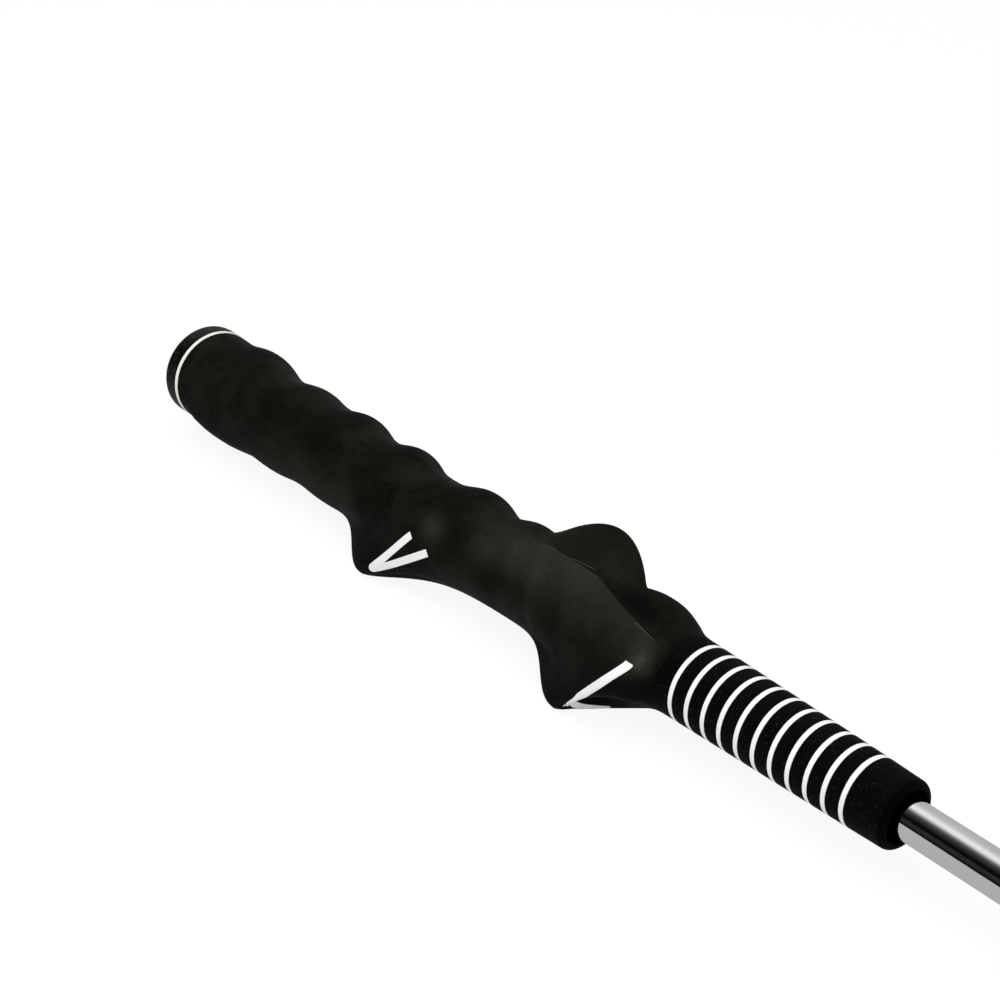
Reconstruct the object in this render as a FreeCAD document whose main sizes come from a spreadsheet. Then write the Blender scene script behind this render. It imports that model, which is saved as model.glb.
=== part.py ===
"""Swing trainer stick: a moulded rubber training grip on a weighted steel shaft.

Frame: the origin is the centre of the vent hole in the butt cap's rear face. +X runs
along the shaft to the tip, and +Z is up as the stick lies on a table, resting on its
first thumb wedge, its palm swell and its weight head. Millimetres.

Round the grip, places are given by a grip angle: 0 is the finger side, 90 the front,
180 the thumb side and 270 the palm side.
"""
import FreeCAD, Part
import math
import os
import Sketcher
from FreeCAD import Placement, Rotation, Vector

doc = FreeCAD.newDocument("swing_trainer_stick")

# ---------------------------------------------------------------------------
# Driving sizes: alias, value, meaning. Millimetres and degrees.
# ---------------------------------------------------------------------------
SIZES = [
    # shaft and its fits
    ("shaft_diameter", 9.525, "3/8 inch chrome-plated steel tube"),
    ("shaft_wall", 1.2, "wall of the tube"),
    ("shaft_length", 634.4, "tube, butt end to tip end"),
    ("slip_clearance", 0.05, "radial clearance of pieces slid or glued on each other"),
    # butt cap
    ("cap_length", 6.6, "rim of the cap, rear face to ring line"),
    ("cap_radius", 13.6, "outer radius of the cap's rim"),
    ("cap_edge", 2.2, "bevel of the rear edge"),
    ("cap_shoulder", 12.5, "radius of the step that carries the ring line"),
    ("spigot_length", 6.3, "plug that enters the grip's bore"),
    ("vent_diameter", 3.2, "vent hole through the cap"),
    ("butt_line_width", 1.2, "width of the ring line at the butt"),
    # bore of the grip, tape and build-up core
    ("tape_thickness", 0.2, "double-sided grip tape"),
    ("core_diameter", 15.0, "outside of the build-up core"),
    ("core_short", 9.0, "how far the core stops before the neck"),
    ("bore_taper_length", 8.0, "cone from the wide bore to the neck's bore"),
    ("mouth_recess_diameter", 12.8, "recess round the shaft in the mouth"),
    ("mouth_recess_depth", 3.0, "depth of that recess"),
    # lengths and radii of the grip's plain form
    ("grip_length", 270.7, "rear face of the cap to the mouth"),
    ("neck_length", 65.9, "ringed neck, from the end of the handle to the mouth"),
    ("handle_butt_radius", 13.5, "plain handle radius at the butt"),
    ("handle_neck_radius", 10.9, "plain handle radius before the neck"),
    ("run_down", 12.0, "length over which handle and neck blend"),
    ("neck_radius", 10.0, "neck radius at its start"),
    ("mouth_radius", 8.27, "neck radius at the mouth"),
    ("mouth_edge", 1.2, "bevel of the mouth's outer edge"),
    ("rest_roll", 44.2, "angle by which the finger side leans back when the stick lies"),
    # ring lines round the neck
    ("lines_reach", 60.9, "mouth back to the middle of the first neck line"),
    ("line_pitch", 5.0, "spacing of the neck lines"),
    ("line_count", 11, "number of neck lines"),
    ("line_width", 1.3, "width of a neck line"),
    ("line_depth", 0.7, "depth of a line's groove"),
    # finger grooves on the finger side: radius at each groove's floor
    ("groove_a_at", 41.8, "little finger groove"),
    ("groove_a_radius", 11.6, "its floor"),
    ("groove_b_at", 62.3, "ring finger groove"),
    ("groove_b_radius", 11.9, "its floor"),
    ("groove_c_at", 85.8, "middle finger groove"),
    ("groove_c_radius", 11.0, "its floor"),
    ("groove_d_at", 109.3, "second hand's first groove"),
    ("groove_d_radius", 10.4, "its floor"),
    ("groove_e_at", 136.8, "second hand's second groove"),
    ("groove_e_radius", 10.2, "its floor"),
    # ridges between the grooves: middle, rise over the groove floors, half width
    ("ridge_a_at", 26.7, "ridge behind the little finger"),
    ("ridge_a_rise", 2.2, ""),
    ("ridge_a_half", 8.0, ""),
    ("ridge_b_at", 52.4, "ridge between little and ring finger"),
    ("ridge_b_rise", 1.35, ""),
    ("ridge_b_half", 6.5, ""),
    ("ridge_c_at", 74.3, "ridge between ring and middle finger"),
    ("ridge_c_rise", 1.95, ""),
    ("ridge_c_half", 6.3, ""),
    ("ridge_d_at", 97.3, "ridge between the hands"),
    ("ridge_d_rise", 2.25, ""),
    ("ridge_d_half", 6.1, ""),
    ("ridge_e_at", 126.6, "second hand's ridge"),
    ("ridge_e_rise", 2.8, ""),
    ("ridge_e_half", 7.5, ""),
    ("ridge_f_at", 146.0, "ridge behind the trigger fin"),
    ("ridge_f_rise", 2.0, ""),
    ("ridge_f_half", 6.1, ""),
    # pads on the thumb side: middle, rise, half length
    ("heel_pad_at", 24.6, "pad under the heel of the hand"),
    ("heel_pad_rise", 1.7, ""),
    ("heel_pad_half", 13.5, ""),
    ("thumb_pad_at", 49.4, "pad behind the thumb"),
    ("thumb_pad_rise", 0.9, ""),
    ("thumb_pad_half", 8.0, ""),
    ("tip_pad_at", 74.7, "pad under the thumb"),
    ("tip_pad_rise", 0.6, ""),
    ("tip_pad_half", 8.0, ""),
    # thumb wedges: apex, forward sweep of the crest, height, rear and front half lengths
    ("wedge_a_at", 100.8, "apex of the first thumb wedge"),
    ("wedge_a_sweep", 18.0, "how far its crest runs forward round the grip"),
    ("wedge_a_height", 11.0, "apex over the plain handle"),
    ("wedge_a_rear", 11.0, ""),
    ("wedge_a_front", 15.4, ""),
    ("wedge_a_spread", 24.0, "angular half width"),
    ("wedge_a_near", 1.45, "sharpness of its fall towards the fingers"),
    ("wedge_a_far", 1.3, "sharpness of its fall towards the palm"),
    ("wedge_a_span", 60.0, "angle over which its crest sweeps"),
    ("wedge_a_tail", 0.09, "share of the height in its long tail"),
    ("wedge_a_far_tail", 0.09, "the same towards the palm"),
    ("wedge_a_edge", 1.4, "sharpness of its front slope"),
    ("wedge_b_at", 178.6, "apex of the second thumb wedge"),
    ("wedge_b_sweep", 20.0, "how far its crest runs forward round the grip"),
    ("wedge_b_height", 12.0, "apex over the plain handle"),
    ("wedge_b_rear", 12.3, ""),
    ("wedge_b_front", 6.2, ""),
    ("wedge_b_spread", 24.0, "angular half width"),
    ("wedge_b_near", 1.45, "sharpness of its fall towards the fingers"),
    ("wedge_b_far", 1.1, "sharpness of its fall towards the palm"),
    ("wedge_b_span", 72.0, "angle over which its crest sweeps"),
    ("wedge_b_tail", 0.24, "share of the height in its long tail"),
    ("wedge_b_far_tail", 0.12, "the same towards the palm"),
    ("wedge_b_edge", 1.16, "sharpness of its front slope"),
    # trigger fin and the knuckle in front of it
    ("fin_at", 165.9, "highest point of the trigger fin"),
    ("fin_radius", 21.4, "its reach from the shaft's axis"),
    ("fin_half", 17.5, "half length of the fin"),
    ("fin_drop", 10.6, "how far its outline falls over that half length"),
    ("fin_foot", 45.0, "widest grip angle of the foot of its flanks"),
    ("fin_foot_end", 18.0, "grip angle of the foot at the fin's ends"),
    ("fin_foot_at", 157.8, "where the foot is widest"),
    ("fin_foot_rear", 9.0, "length of the foot behind that place"),
    ("fin_foot_front", 23.4, "length of the foot in front of it"),
    ("knuckle_at", 190.4, "swell in front of the fin"),
    ("knuckle_rise", 2.5, ""),
    ("knuckle_half", 9.1, ""),
    # cheek panel, finger hollow and palm swell
    ("cheek_start", 154.3, "rear edge of the raised cheek"),
    ("cheek_end", 202.8, "front edge of the raised cheek"),
    ("cheek_rise", 1.6, "how far it stands over the handle"),
    ("cheek_turn", 174.8, "where its lower edge leaves the fin and curves away"),
    ("cheek_fade", 6.0, "length over which its ends run out"),
    ("hollow_at", 188.8, "first finger's hollow beside the cheek"),
    ("hollow_half", 9.5, "half length of the hollow"),
    ("hollow_depth", 1.9, ""),
    ("palm_at", 154.8, "middle of the palm swell"),
    ("palm_half", 30.0, "half length of the palm swell"),
    ("palm_rise", 5.95, "palm swell over the plain handle"),
    # marks on the wedges
    ("mark_width", 1.9, "width of the V marks' lines"),
    ("mark_proud", 0.1, "how far their paint stands over the rubber"),
    ("mark_depth", 0.6, "depth of the channels that hold it"),
    # weight head and tip
    ("head_length", 88.0, "length of the weight head"),
    ("head_diameter", 33.9, "diameter of the weight head, level with the grip when it lies"),
    ("head_chamfer", 2.0, "chamfer at both ends of the head"),
    ("ferrule_length", 12.0, "tapered ring behind the head"),
    ("ferrule_rear_radius", 6.4, "thin end of the ferrule"),
    ("ferrule_front_radius", 10.5, "wide end of the ferrule"),
    ("pin_diameter", 4.0, "roll pin across head and shaft"),
    ("pin_bore", 2.2, "hollow of the roll pin"),
    ("pin_inset", 1.0, "how far the pin's ends lie below the head's skin"),
    ("tip_length", 16.0, "rubber bumper in front of the head"),
    ("tip_radius", 16.0, "radius of the bumper"),
    ("tip_bevel", 6.0, "bevel of the bumper's nose"),
    ("tip_socket_depth", 5.0, "pocket of the bumper that takes the shaft's end"),
    ("tip_play", 0.5, "room between the shaft's end and the pocket's floor"),
]

sheet = doc.addObject("Spreadsheet::Sheet", "Sizes")
for row, (alias, value, meaning) in enumerate(SIZES, start=1):
    sheet.set("A%d" % row, alias)
    sheet.set("B%d" % row, str(value))
    sheet.setAlias("B%d" % row, alias)
    sheet.set("C%d" % row, meaning)
doc.recompute()


def size(alias):
    """Value of one driving size."""
    return float(sheet.get(alias))


# ---------------------------------------------------------------------------
# Sketch helpers: every point or radius is bound to an expression on the sheet
# ---------------------------------------------------------------------------
def new_body(label):
    body = doc.addObject("PartDesign::Body", label)
    body.Label = label
    return body


def origin_plane(body, role):
    for feature in body.Origin.OriginFeatures:
        if feature.Role == role:
            return feature
    raise ValueError("no origin plane " + role)


def sketch_on(body, name, role):
    sketch = body.newObject("Sketcher::SketchObject", name)
    sketch.AttachmentSupport = [(origin_plane(body, role), "")]
    sketch.MapMode = "FlatFace"
    return sketch


def add_circle(sketch, radius):
    """Circle about the sketch's origin; radius is an expression."""
    index = sketch.addGeometry(Part.Circle(Vector(0, 0, 0), Vector(0, 0, 1), 1.0), False)
    sketch.addConstraint(Sketcher.Constraint("Coincident", index, 3, -1, 1))
    driving = sketch.addConstraint(Sketcher.Constraint("Radius", index, 1.0))
    sketch.setExpression("Constraints[%d]" % driving, radius)


def evaluate(body, expression):
    """Number that a sheet expression stands for."""
    value = body.evalExpression(expression)
    return float(getattr(value, "Value", value))


def add_outline(sketch, corners):
    """Closed outline through corners given as (x expression, y expression)."""
    points = [Vector(evaluate(sketch, x), evaluate(sketch, y), 0) for x, y in corners]
    count = len(corners)
    for index in range(count):
        ends = points[index], points[(index + 1) % count]
        sketch.addGeometry(Part.LineSegment(*ends), False)
    for index in range(count):
        following = (index + 1) % count
        sketch.addConstraint(Sketcher.Constraint("Coincident", index, 2, following, 1))
    for index, (x, y) in enumerate(corners):
        for kind, axis, text in (("DistanceX", -2, x), ("DistanceY", -1, y)):
            if text == "0":
                sketch.addConstraint(Sketcher.Constraint("PointOnObject", index, 1, axis))
                continue
            distance = points[index].x if kind == "DistanceX" else points[index].y
            rule = Sketcher.Constraint(kind, -1, 1, index, 1, distance)
            driving = sketch.addConstraint(rule)
            sketch.setExpression("Constraints[%d]" % driving, text)


def revolve(body, name, corners):
    """Solid of revolution about +X; corners are (x, radius) expressions."""
    sketch = sketch_on(body, name + "_profile", "XY_Plane")
    add_outline(sketch, corners)
    turned = body.newObject("PartDesign::Revolution", name + "_revolution")
    turned.Profile = sketch
    turned.ReferenceAxis = (sketch, ["H_Axis"])
    turned.Angle = 360.0
    return turned


def tube(label, start, length, outer, inner):
    """Round tube along +X from start; all sizes are expressions."""
    body = new_body(label)
    sketch = sketch_on(body, label + "_section", "YZ_Plane")
    add_circle(sketch, outer)
    add_circle(sketch, inner)
    pad = body.newObject("PartDesign::Pad", label + "_pad")
    pad.Profile = sketch
    pad.setExpression("Length", length)
    body.setExpression("Placement.Base.x", start)
    return body


def finish_edges(body, kind, name, wanted, radius):
    """Fillet or Chamfer on the edges of the body's tip that wanted(edge) picks."""
    doc.recompute()
    base = body.Tip
    picked = ["Edge%d" % (i + 1) for i, e in enumerate(base.Shape.Edges) if wanted(e)]
    feature = body.newObject("PartDesign::" + kind, name)
    feature.Base = (base, picked)
    feature.setExpression("Radius" if kind == "Fillet" else "Size", radius)
    return feature


def is_circle_at(edge, x, radius):
    """Is the edge a circle about the X axis at this place and size?"""
    curve = edge.Curve
    if not isinstance(curve, Part.Circle):
        return False
    return abs(curve.Center.x - x) < 0.01 and abs(curve.Radius - radius) < 0.01


# ---------------------------------------------------------------------------
# Butt cap: rubber cap with a plug in the grip's bore and a vent hole; a step in front
# of its rim carries the ring line
# ---------------------------------------------------------------------------
BORE_RADIUS = "(Sizes.core_diameter / 2 + Sizes.tape_thickness + 2 * Sizes.slip_clearance)"
SLEEVE_START = "(Sizes.cap_length + Sizes.butt_line_width)"
PLUG_END = "(%s + Sizes.spigot_length)" % SLEEVE_START
PLUG_RADIUS = "%s - Sizes.slip_clearance" % BORE_RADIUS

butt_cap = new_body("butt_cap")
revolve(butt_cap, "cap", [
    ("0", "Sizes.vent_diameter / 2"),
    ("0", "Sizes.cap_radius"),
    ("Sizes.cap_length", "Sizes.cap_radius"),
    ("Sizes.cap_length", "Sizes.cap_shoulder"),
    (SLEEVE_START, "Sizes.cap_shoulder"),
    (SLEEVE_START, PLUG_RADIUS),
    (PLUG_END, PLUG_RADIUS),
    (PLUG_END, "Sizes.vent_diameter / 2"),
])
finish_edges(butt_cap, "Chamfer", "cap_rear_edge",
             lambda edge: is_circle_at(edge, 0.0, size("cap_radius")), "Sizes.cap_edge")

butt_ring_line = tube("butt_ring_line", "Sizes.cap_length", "Sizes.butt_line_width",
                      "Sizes.cap_radius + Sizes.slip_clearance", "Sizes.cap_shoulder")

# ---------------------------------------------------------------------------
# Shaft, build-up core and grip tape, one inside the other
# ---------------------------------------------------------------------------
shaft = tube("shaft", PLUG_END, "Sizes.shaft_length",
             "Sizes.shaft_diameter / 2", "Sizes.shaft_diameter / 2 - Sizes.shaft_wall")
NECK_START = "(Sizes.grip_length - Sizes.neck_length)"
CORE_LENGTH = "(%s - Sizes.core_short - %s)" % (NECK_START, PLUG_END)
build_up_core = tube("build_up_core", PLUG_END, CORE_LENGTH,
                     "Sizes.core_diameter / 2",
                     "Sizes.shaft_diameter / 2 + Sizes.slip_clearance")
grip_tape = tube("grip_tape", PLUG_END, CORE_LENGTH,
                 "Sizes.core_diameter / 2 + Sizes.slip_clearance + Sizes.tape_thickness",
                 "Sizes.core_diameter / 2 + Sizes.slip_clearance")


# ---------------------------------------------------------------------------
# Grip sleeve. The skin of the handle is one surface whose radius is a formula: a plain
# tapered handle, plus the grooves, pads, wedges, fin and swells that place the hands
# ---------------------------------------------------------------------------
def smooth(u):
    """0 below 0, 1 above 1, and a smooth step between."""
    u = min(max(u, 0.0), 1.0)
    return u * u * (3.0 - 2.0 * u)


def bump(u, power=2.0):
    """Bell of height 1 at u = 0; a power over 2 flattens its top, under 2 sharpens it."""
    return math.exp(-abs(u) ** power)


def off(angle, middle):
    """Signed angle in degrees from middle round to angle."""
    return (angle - middle + 180.0) % 360.0 - 180.0


def blend_max(a, b, blend):
    """The larger of a and b, rounded where they meet."""
    return 0.5 * (a + b + math.sqrt((a - b) ** 2 + blend * blend))


def neck_start():
    """Where the handle has run down to the ringed neck."""
    return size("grip_length") - size("neck_length")


def neck_radius_at(x):
    """Cone of the ringed neck."""
    along = (x - neck_start()) / size("neck_length")
    return size("neck_radius") + (size("mouth_radius") - size("neck_radius")) * along


def plain_radius(x):
    """Tapered handle, blended into the neck."""
    fall = size("handle_neck_radius") - size("handle_butt_radius")
    handle = size("handle_butt_radius") + fall * x / neck_start()
    onto_neck = smooth((x - neck_start()) / size("run_down") + 0.92)
    return handle * (1.0 - onto_neck) + neck_radius_at(x) * onto_neck


GROOVES = ["groove_a", "groove_b", "groove_c", "groove_d", "groove_e"]
RIDGES = ["ridge_a", "ridge_b", "ridge_c", "ridge_d", "ridge_e", "ridge_f"]
PADS = ["heel_pad", "thumb_pad", "tip_pad"]
FINGER_SIDE = -8.0          # middle of the finger grooves, grip angle
FINGER_REACH = 78.0         # where the grooves have run out, either side
FINGER_FADE = 62.0          # angle over which they do
GROOVES_START = 5.8         # from the rear face
GROOVES_STOP_SHORT = 18.0   # before the fin


def groove_floor(x):
    """Line through the floors of the finger grooves, on the finger side."""
    stops = [
        (size("cap_length"), size("cap_radius")),
        (0.42 * size("groove_a_at"), size("cap_radius") - 0.7),
    ]
    stops += [(size(groove + "_at"), size(groove + "_radius")) for groove in GROOVES]
    stops += [(size("fin_at"), plain_radius(size("fin_at")) - 0.4)]
    for (x0, r0), (x1, r1) in zip(stops, stops[1:]):
        if x <= x1:
            return r0 + (r1 - r0) * (x - x0) / (x1 - x0)
    return stops[-1][1]


def fingers(x, angle):
    """Grooves and ridges on the finger side."""
    around = smooth((FINGER_REACH - abs(off(angle, FINGER_SIDE))) / FINGER_FADE)
    along = smooth((x - GROOVES_START) / 8.0)
    along *= 1.0 - smooth((x - size("fin_at") + GROOVES_STOP_SHORT) / 8.0)
    if around * along == 0.0:
        return 0.0
    rise = groove_floor(x) - plain_radius(x)
    for ridge in RIDGES:
        off_ridge = (x - size(ridge + "_at")) / size(ridge + "_half")
        rise += size(ridge + "_rise") * bump(off_ridge, 2.2)
    return rise * around * along


def thumb_pads(x, angle):
    """Low pads along the thumb side of the rear hand."""
    around = smooth((95.0 - abs(off(angle, 200.0))) / 70.0)
    rise = 0.0
    for pad in PADS:
        rise += size(pad + "_rise") * bump((x - size(pad + "_at")) / size(pad + "_half"), 2.6)
    return rise * around


def crest_x(wedge, angle):
    """Where a wedge's crest lies along the grip, at this angle."""
    swept = min(abs(off(angle, 180.0)) / size(wedge + "_span"), 1.35)
    return size(wedge + "_at") + size(wedge + "_sweep") * math.sin(0.5 * math.pi * swept)


def wedge_rise(wedge, x, angle):
    """Beak on the thumb side whose crest sweeps forward and down round the grip."""
    ahead = x - crest_x(wedge, angle)
    if ahead < 0.0:
        along = bump(ahead / size(wedge + "_rear"), 2.6)
    else:
        along = bump(ahead / size(wedge + "_front"), size(wedge + "_edge"))
    aside = abs(off(angle, 180.0))
    far = off(angle, 180.0) > 0.0
    fall = size(wedge + ("_far" if far else "_near"))
    tail = size(wedge + ("_far_tail" if far else "_tail"))
    around = (1.0 - tail) * bump(aside / size(wedge + "_spread"), fall)
    around += tail * (1.0 - smooth((aside - 45.0) / 45.0))
    return size(wedge + "_height") * around * along


CHEEK_SLANT = 1.22      # degrees by which the cheek's lower edge turns away, per mm


def cheek_edge(x):
    """Grip angle of the cheek's lower edge, which turns away towards the neck."""
    return size("fin_foot") + CHEEK_SLANT * max(x - size("cheek_turn"), 0.0)


def cheek(x, angle):
    """Raised panel between the trigger fin and the second wedge's crest."""
    start = size("cheek_start") + 0.08 * off(angle, 60.0)
    along = smooth((x - start) / size("cheek_fade"))
    along *= smooth((size("cheek_end") - x) / size("cheek_fade"))
    around = smooth((angle - cheek_edge(x) + 3.0) / 6.0)
    around *= 1.0 - smooth((angle - 150.0) / 25.0)
    return size("cheek_rise") * along * around


def hollow(x, angle):
    """Dip for the first finger, below the cheek's edge."""
    ahead = x - size("hollow_at")
    around = bump(off(angle, 48.0 + 0.8 * ahead) / 15.0)
    return -size("hollow_depth") * bump(ahead / size("hollow_half"), 3.0) * around


def knuckle(x, angle):
    """Swell on the finger side, in front of the fin."""
    along = bump((x - size("knuckle_at")) / size("knuckle_half"), 2.4)
    return size("knuckle_rise") * along * bump(off(angle, -5.0) / 48.0, 2.5)


def palm_swell(x, angle):
    """Full pad under the palm, on the side away from the cheek."""
    along = bump((x - size("palm_at")) / size("palm_half"), 3.0)
    return size("palm_rise") * along * bump(off(angle, 243.0) / 27.0, 2.2)


def fin_radius_at(x, angle):
    """Trigger fin: straight flanks from an arched keel down to a foot either side. The
    foot closes towards both ends, and beyond them the fin is sunk in the grip."""
    ahead = x - size("fin_foot_at")
    reach = abs(ahead) / size("fin_foot_front" if ahead > 0.0 else "fin_foot_rear")
    share = math.sqrt(max(1.0 - reach ** 2, 0.0))
    foot = size("fin_foot_end") + (size("fin_foot") - size("fin_foot_end")) * share
    aside = abs(off(angle, 0.0))
    if aside >= foot:
        return 0.0
    sunk = 4.0 * smooth(reach - 1.0)
    arch = size("fin_drop") * ((x - size("fin_at")) / size("fin_half")) ** 2
    keel = max(size("fin_radius") - arch, 0.5 * size("fin_radius")) - sunk
    root = 0.98 * plain_radius(x) - sunk
    full, part, rest = (math.sin(math.radians(a)) for a in (foot, aside, foot - aside))
    return keel * root * full / (keel * part + root * rest)


def skin_radius(x, angle):
    """Radius of the handle's skin, from the shaft's axis."""
    radius = plain_radius(x) + fingers(x, angle) + thumb_pads(x, angle)
    radius += wedge_rise("wedge_a", x, angle) + wedge_rise("wedge_b", x, angle)
    radius += cheek(x, angle) + hollow(x, angle) + knuckle(x, angle)
    radius += palm_swell(x, angle)
    return blend_max(radius, fin_radius_at(x, angle), 0.8)


def on_grip(x, radius, angle):
    """Point at this place along the grip, radius and grip angle."""
    turn = math.radians(size("rest_roll") - angle)
    return Vector(x, radius * math.sin(turn), radius * math.cos(turn))


DEGREE = 3
POLE_PITCH = 3.0        # spacing of the skin's control rings
POLES_AROUND = 48       # control points in a ring
ROUND_END = 6.0         # length over which the skin runs out to a plain round at its ends


def handle_radius(x, angle, start, end):
    """Skin radius, faded to the plain handle at the two ends."""
    plain = plain_radius(x)
    shaped = smooth((x - start) / ROUND_END) * smooth((end - x) / ROUND_END)
    return plain + shaped * (skin_radius(x, angle) - plain) if shaped else plain


def handle_solid(start, end):
    """Closed solid inside the handle's skin, between two round ends."""
    spans = int(round((end - start) / POLE_PITCH))
    knots = [0] * DEGREE + list(range(spans + 1)) + [spans] * DEGREE
    step = 360.0 / POLES_AROUND
    pitch = (end - start) / spans
    stations = [start + pitch * sum(knots[i + 1:i + 1 + DEGREE]) / DEGREE
                for i in range(spans + DEGREE)]
    wanted = [[handle_radius(x, step * k, start, end) for k in range(POLES_AROUND)]
              for x in stations]
    rings = []
    for i, x in enumerate(stations):
        behind, ahead = wanted[max(i - 1, 0)], wanted[min(i + 1, len(stations) - 1)]
        here = wanted[i]
        ring = []
        for k in range(POLES_AROUND):
            # the surface draws in at a crest and fills a hollow by about a sixth of the
            # bend at its control point, so each point is set out or in by that much
            bend = 2.0 * here[k] - here[k - 1] - here[(k + 1) % POLES_AROUND]
            if 1 < i < len(stations) - 2:
                bend += 2.0 * here[k] - behind[k] - ahead[k]
            # a ring of control points stands outside the circle that it draws
            stand_off = 3.0 / (2.0 + math.cos(math.radians(step)))
            ring.append(on_grip(x, (here[k] + bend / 6.0) * stand_off, step * k))
        rings.append(ring)
    surface = Part.BSplineSurface()
    surface.buildFromPolesMultsKnots(
        rings,
        [DEGREE + 1] + [1] * (spans - 1) + [DEGREE + 1], [1] * (POLES_AROUND + 1),
        list(range(spans + 1)), list(range(POLES_AROUND + 1)),
        False, True, DEGREE, DEGREE)
    skin = surface.toShape()
    ends = [e for e in skin.Edges if e.BoundBox.XLength < 0.001]
    shell = Part.makeShell([skin] + [Part.Face(Part.Wire([e])) for e in ends])
    shell.sewShape()
    solid = Part.Solid(shell)
    if solid.Volume < 0:
        solid.reverse()
    return solid


def turned(corners):
    """Solid of revolution about the X axis from (x, radius) corners."""
    points = [Vector(x, r, 0) for x, r in corners]
    outline = Part.makePolygon(points + points[:1])
    return Part.Face(outline).revolve(Vector(0, 0, 0), Vector(1, 0, 0), 360)


def line_middles():
    """Places of the neck's ring lines."""
    count = int(size("line_count"))
    first = size("grip_length") - size("lines_reach")
    return [first + size("line_pitch") * i for i in range(count)]


STEP_DOWN = 0.06     # the neck starts this much inside the handle's end
ROOT_LENGTH = 4.0    # cone at the neck's root, sunk in the handle


def neck_solid():
    """Cone of the neck on its sunk root, with a groove for each ring line."""
    start = neck_start()
    mouth = size("grip_length")
    half = size("line_width") / 2.0
    rim = neck_radius_at(start) - STEP_DOWN
    corners = [
        (start - ROOT_LENGTH, 0.0),
        (start - ROOT_LENGTH, rim - ROOT_LENGTH / 2.0),
        (start + STEP_DOWN, rim),
    ]
    for middle in line_middles():
        floor = neck_radius_at(middle) - size("line_depth")
        corners += [
            (middle - half, neck_radius_at(middle - half) - STEP_DOWN),
            (middle - half, floor),
            (middle + half, floor),
            (middle + half, neck_radius_at(middle + half) - STEP_DOWN),
        ]
    bevel = size("mouth_edge")
    rim = neck_radius_at(mouth) - STEP_DOWN
    corners += [(mouth - bevel, rim), (mouth, rim - bevel), (mouth, 0.0)]
    return turned(corners)


def bore_solid():
    """Stepped hole of the grip: wide for core and tape, then close round the shaft."""
    wide = size("core_diameter") / 2 + size("tape_thickness") + 2 * size("slip_clearance")
    close = size("shaft_diameter") / 2 + size("slip_clearance")
    recess = size("mouth_recess_diameter") / 2
    start = size("cap_length") + size("butt_line_width")
    core_end = neck_start() - size("core_short")
    mouth = size("grip_length")
    beyond = 1.0
    return turned([
        (start - beyond, 0.0),
        (start - beyond, wide),
        (core_end, wide),
        (core_end + size("bore_taper_length"), close),
        (mouth - size("mouth_recess_depth"), close),
        (mouth - size("mouth_recess_depth"), recess),
        (mouth + beyond, recess),
        (mouth + beyond, 0.0),
    ])


# A V mark: its wedge, and the stops of its two lines from the vertex on, as (place ahead
# of the wedge's apex, grip angle)
MARKS = {
    "first_v_mark": (
        "wedge_a",
        [(4.5, 172.0), (8.5, 162.3), (11.6, 152.2), (14.6, 139.8), (17.8, 124.1)],
        [(4.5, 172.0), (9.7, 166.5), (14.6, 158.3), (19.4, 147.7), (24.5, 133.3)]),
    "second_v_mark": (
        "wedge_b",
        [(2.9, 174.0), (6.1, 166.9), (9.8, 156.5), (15.3, 137.3), (18.5, 121.4), (20.0, 109.7)],
        [(2.9, 174.0), (2.5, 181.5), (3.2, 187.0), (4.7, 192.0), (6.5, 197.0), (8.5, 202.0)]),
}
CUT_OVER = 2.0        # how far a channel's cutter stands over the skin


def line_on_grip(wedge, stops):
    """Places (place along the grip, grip angle) at the stops and halfway between them."""
    places = [(size(wedge + "_at") + ahead, angle) for ahead, angle in stops]
    line = places[:1]
    for (x0, angle0), (x1, angle1) in zip(places, places[1:]):
        line += [((x0 + x1) / 2, (angle0 + angle1) / 2), (x1, angle1)]
    return line


def on_skin(x, angle):
    return on_grip(x, skin_radius(x, angle), angle)


def skin_normal(x, angle):
    """Outward normal of the skin."""
    along = on_skin(x + 0.2, angle) - on_skin(x - 0.2, angle)
    around = on_skin(x, angle + 1.0) - on_skin(x, angle - 1.0)
    normal = along.cross(around).normalize()
    outward = on_grip(0.0, 1.0, angle)
    return normal if normal.dot(outward) > 0.0 else normal * -1.0


def height_over(point):
    """How far a point lies outside the skin, along its radius."""
    angle = size("rest_roll") - math.degrees(math.atan2(point.y, point.z))
    return math.hypot(point.y, point.z) - skin_radius(point.x, angle)


def mark_bar(line, over, under):
    """Bar along a line on the skin, lofted through flat sections that reach from over
    above the skin to under below it."""
    half = size("mark_width") / 2.0
    wires = []
    for i, (x, angle) in enumerate(line):
        here = on_skin(x, angle)
        ahead = on_skin(*line[min(i + 1, len(line) - 1)]) - on_skin(*line[max(i - 1, 0)])
        normal = skin_normal(x, angle)
        side = ahead.cross(normal).normalize()
        tops = []
        for share in (-1.0, 0.0, 1.0):
            point = here + side * (share * half)
            for _ in range(4):
                point = point - normal * height_over(point)
            tops.append(point + normal * over)
        floors = [top - normal * (over + under) for top in tops]
        wires.append(Part.makePolygon(tops + floors[::-1] + tops[:1]))
    return Part.makeLoft(wires, True, True)


def add_feature(label, shape):
    feature = doc.addObject("Part::Feature", label)
    feature.Label = label
    feature.Shape = shape
    feature.Placement = Placement(Vector(0, 0, 0), Rotation())
    return feature


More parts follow.
